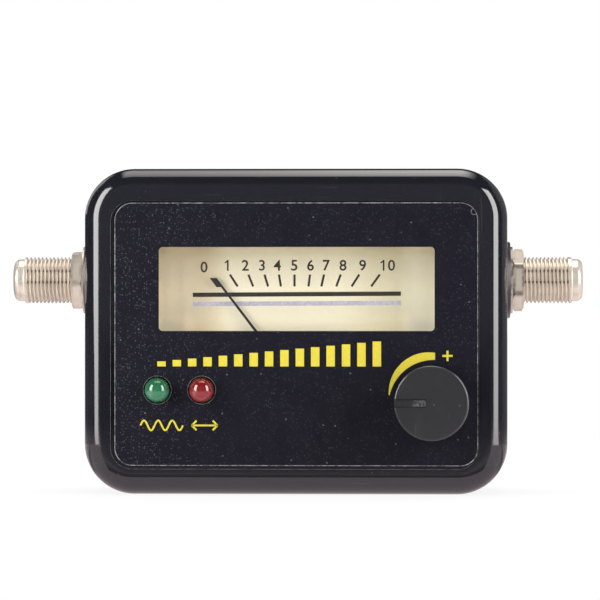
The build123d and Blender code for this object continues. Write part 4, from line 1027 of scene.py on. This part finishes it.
def studio_floor():
    """A floor with soft shadows near the object, which is white to the camera further out."""
    corners = [(floor_reach * x, floor_reach * y, 0) for x, y in square]
    floor = new_object("floor", corners, [(0, 1, 2, 3)])
    finish = Finish("floor_white")
    reach = finish.length(finish.place)
    lit = finish.node("ShaderNodeBsdfDiffuse", {"Color": floor_grey}).outputs["BSDF"]
    paper = finish.blend(finish.ramp(reach, 0.09, 0.3, 0.86, 1), lit, finish.glow(white, 1.0))
    direct, glossy = finish.rays()
    seen = finish.blend(direct, lit, paper)
    mirrored = finish.glow(mirror_tint, mirrored_floor(finish, reach))
    finish.shade_with(finish.blend(glossy, seen, mirrored))
    floor.data.materials.append(finish.material)


def studio_world():
    """White to the camera, soft to matt surfaces, and to mirrors dark with a white far side."""
    world = bpy.data.worlds.new("studio")
    bpy.context.scene.world = world
    world.use_nodes = True
    sky = Graph(world.node_tree)
    background = sky.tree.nodes["Background"]
    _, y, z = sky.split(sky.node("ShaderNodeTexCoord").outputs["Generated"])
    far = sky.ramp(y, 0.95, 0.99, 0.0, world_far)
    ahead = sky.ramp(y, -0.75, -0.55, 1.0, 0.0)
    band = sky.product(sky.ramp(z, -0.2, -0.1), sky.ramp(z, 0.5, 0.65, 1.0, 0.0))
    mirrored = sky.total(far, sky.product(ahead, band, world_front))
    direct, glossy = sky.rays()
    strength = sky.between(glossy, world_soft, sky.largest(mirrored, world_dark))
    sky.set(background.inputs["Strength"], sky.between(direct, strength, 1.0))
    sky.set(background.inputs["Color"], white)


def soft_lamp(
    name, middle, facing, width, height, radiance, card_radiance, fade=None, tint=lamp_tint
):
    """An area lamp for matt surfaces, and a card in its place for mirrors, facing one way.

    A fade is a function of the card's finish that gives the share of its light at each place.
    """
    turn = Vector(facing).to_track_quat("-Z", "Y")
    lamp = bpy.data.lights.new(name, "AREA")
    lamp.shape = "RECTANGLE"
    lamp.size, lamp.size_y = width, height
    lamp.energy = radiance * lamp_watts * width * height
    holder = bpy.data.objects.new(name, lamp)
    bpy.context.scene.collection.objects.link(holder)
    holder.location = middle
    holder.rotation_euler = turn.to_euler()
    holder.visible_glossy = False
    corners = [Vector((x * width / 2, y * height / 2, 0)) for x, y in square]
    places = [Vector(middle) + turn @ corner for corner in corners]
    card = new_object(name + "_card", places, [(0, 1, 2, 3)])
    card.visible_camera = False
    card.visible_diffuse = False
    card.visible_shadow = False
    card.visible_transmission = False
    finish = Finish(name + "_glow")
    strength = finish.product(fade(finish), card_radiance) if fade else card_radiance
    finish.shade_with(finish.glow(tint, strength))
    card.data.materials.append(finish.material)


def side_lamp(name, azimuth, width, radiance, card_radiance):
    """A tall soft lamp that stands on the floor at an angle left or right of straight ahead."""
    turn = math.radians(azimuth)
    out = Vector((math.sin(turn), -math.cos(turn), 0))
    middle = out * side_reach + Vector((0, 0, side_height / 2))
    fade = left_fade if azimuth < 0 else side_fade
    soft_lamp(name, middle, -out, width, side_height, radiance, card_radiance, fade)


def side_fade(finish):
    """Less light towards the floor."""
    return finish.ramp(finish.parts()[2], -20 * mm, 75 * mm, 0.70, 1.12)


def left_fade(finish):
    """Less light towards the floor, and a foot that narrows from its far side."""
    azimuth, width = side_lamps[0][:2]
    aside = lamp_directions(finish, azimuth)[1]
    cut = finish.ramp(finish.parts()[2], 50 * mm, 5 * mm, 0, foot_narrowing)
    return finish.product(kept_side(finish, aside, width, cut), side_fade(finish))


def top_fade(finish):
    """Soft ends left and right, and less light towards the back."""
    x, y, _ = finish.parts()
    ends = finish.product(finish.ramp(x, -0.24, -0.15), finish.ramp(x, 0.30, 0.07))
    slope = finish.ramp(x, -0.08, 0.06, 0.82, 1.45)
    near = finish.ramp(y, -0.11, 0.03, 0.80, 1.05)
    depth = finish.product(near, finish.ramp(y, 0.14, 0.42, 1.0, 0.6))
    back = finish.ramp(y, 0.50, 0.42)
    return finish.product(ends, slope, finish.product(depth, back))


studio_floor()
studio_world()
for name, lamp in zip(("left_lamp", "right_lamp"), side_lamps):
    side_lamp(name, *lamp)
side_lamp("right_fill_lamp", azimuth=122.0, width=0.36, radiance=0.2, card_radiance=0.2)
soft_lamp(
    "top_lamp",
    middle=(0.01, 0.295, 0.565),
    facing=(0, 0, -1),
    width=0.52,
    height=0.82,
    radiance=2.3,
    card_radiance=2.02,
    fade=top_fade,
    tint=top_tint,
)
for name, side in (("rear_left_lamp", -1), ("rear_right_lamp", 1)):
    soft_lamp(
        name,
        middle=(0.5 * side, 0.55, 0.35),
        facing=(-0.5 * side, -0.55, -0.3),
        width=0.30,
        height=0.5,
        radiance=3.0,
        card_radiance=0.9,
    )

# Camera
camera = bpy.data.cameras.new("camera")
camera.lens = camera_lens
camera.sensor_width = camera_sensor
camera_holder = bpy.data.objects.new("camera", camera)
bpy.context.scene.collection.objects.link(camera_holder)
camera_ahead = Vector((math.sin(camera_turn), -math.cos(camera_turn), 0))
camera_holder.location = aim + camera_distance * camera_ahead
camera_holder.rotation_euler = (math.pi / 2, 0, camera_turn)
bpy.context.scene.camera = camera_holder
bpy.context.scene.view_settings.view_transform = "Standard"
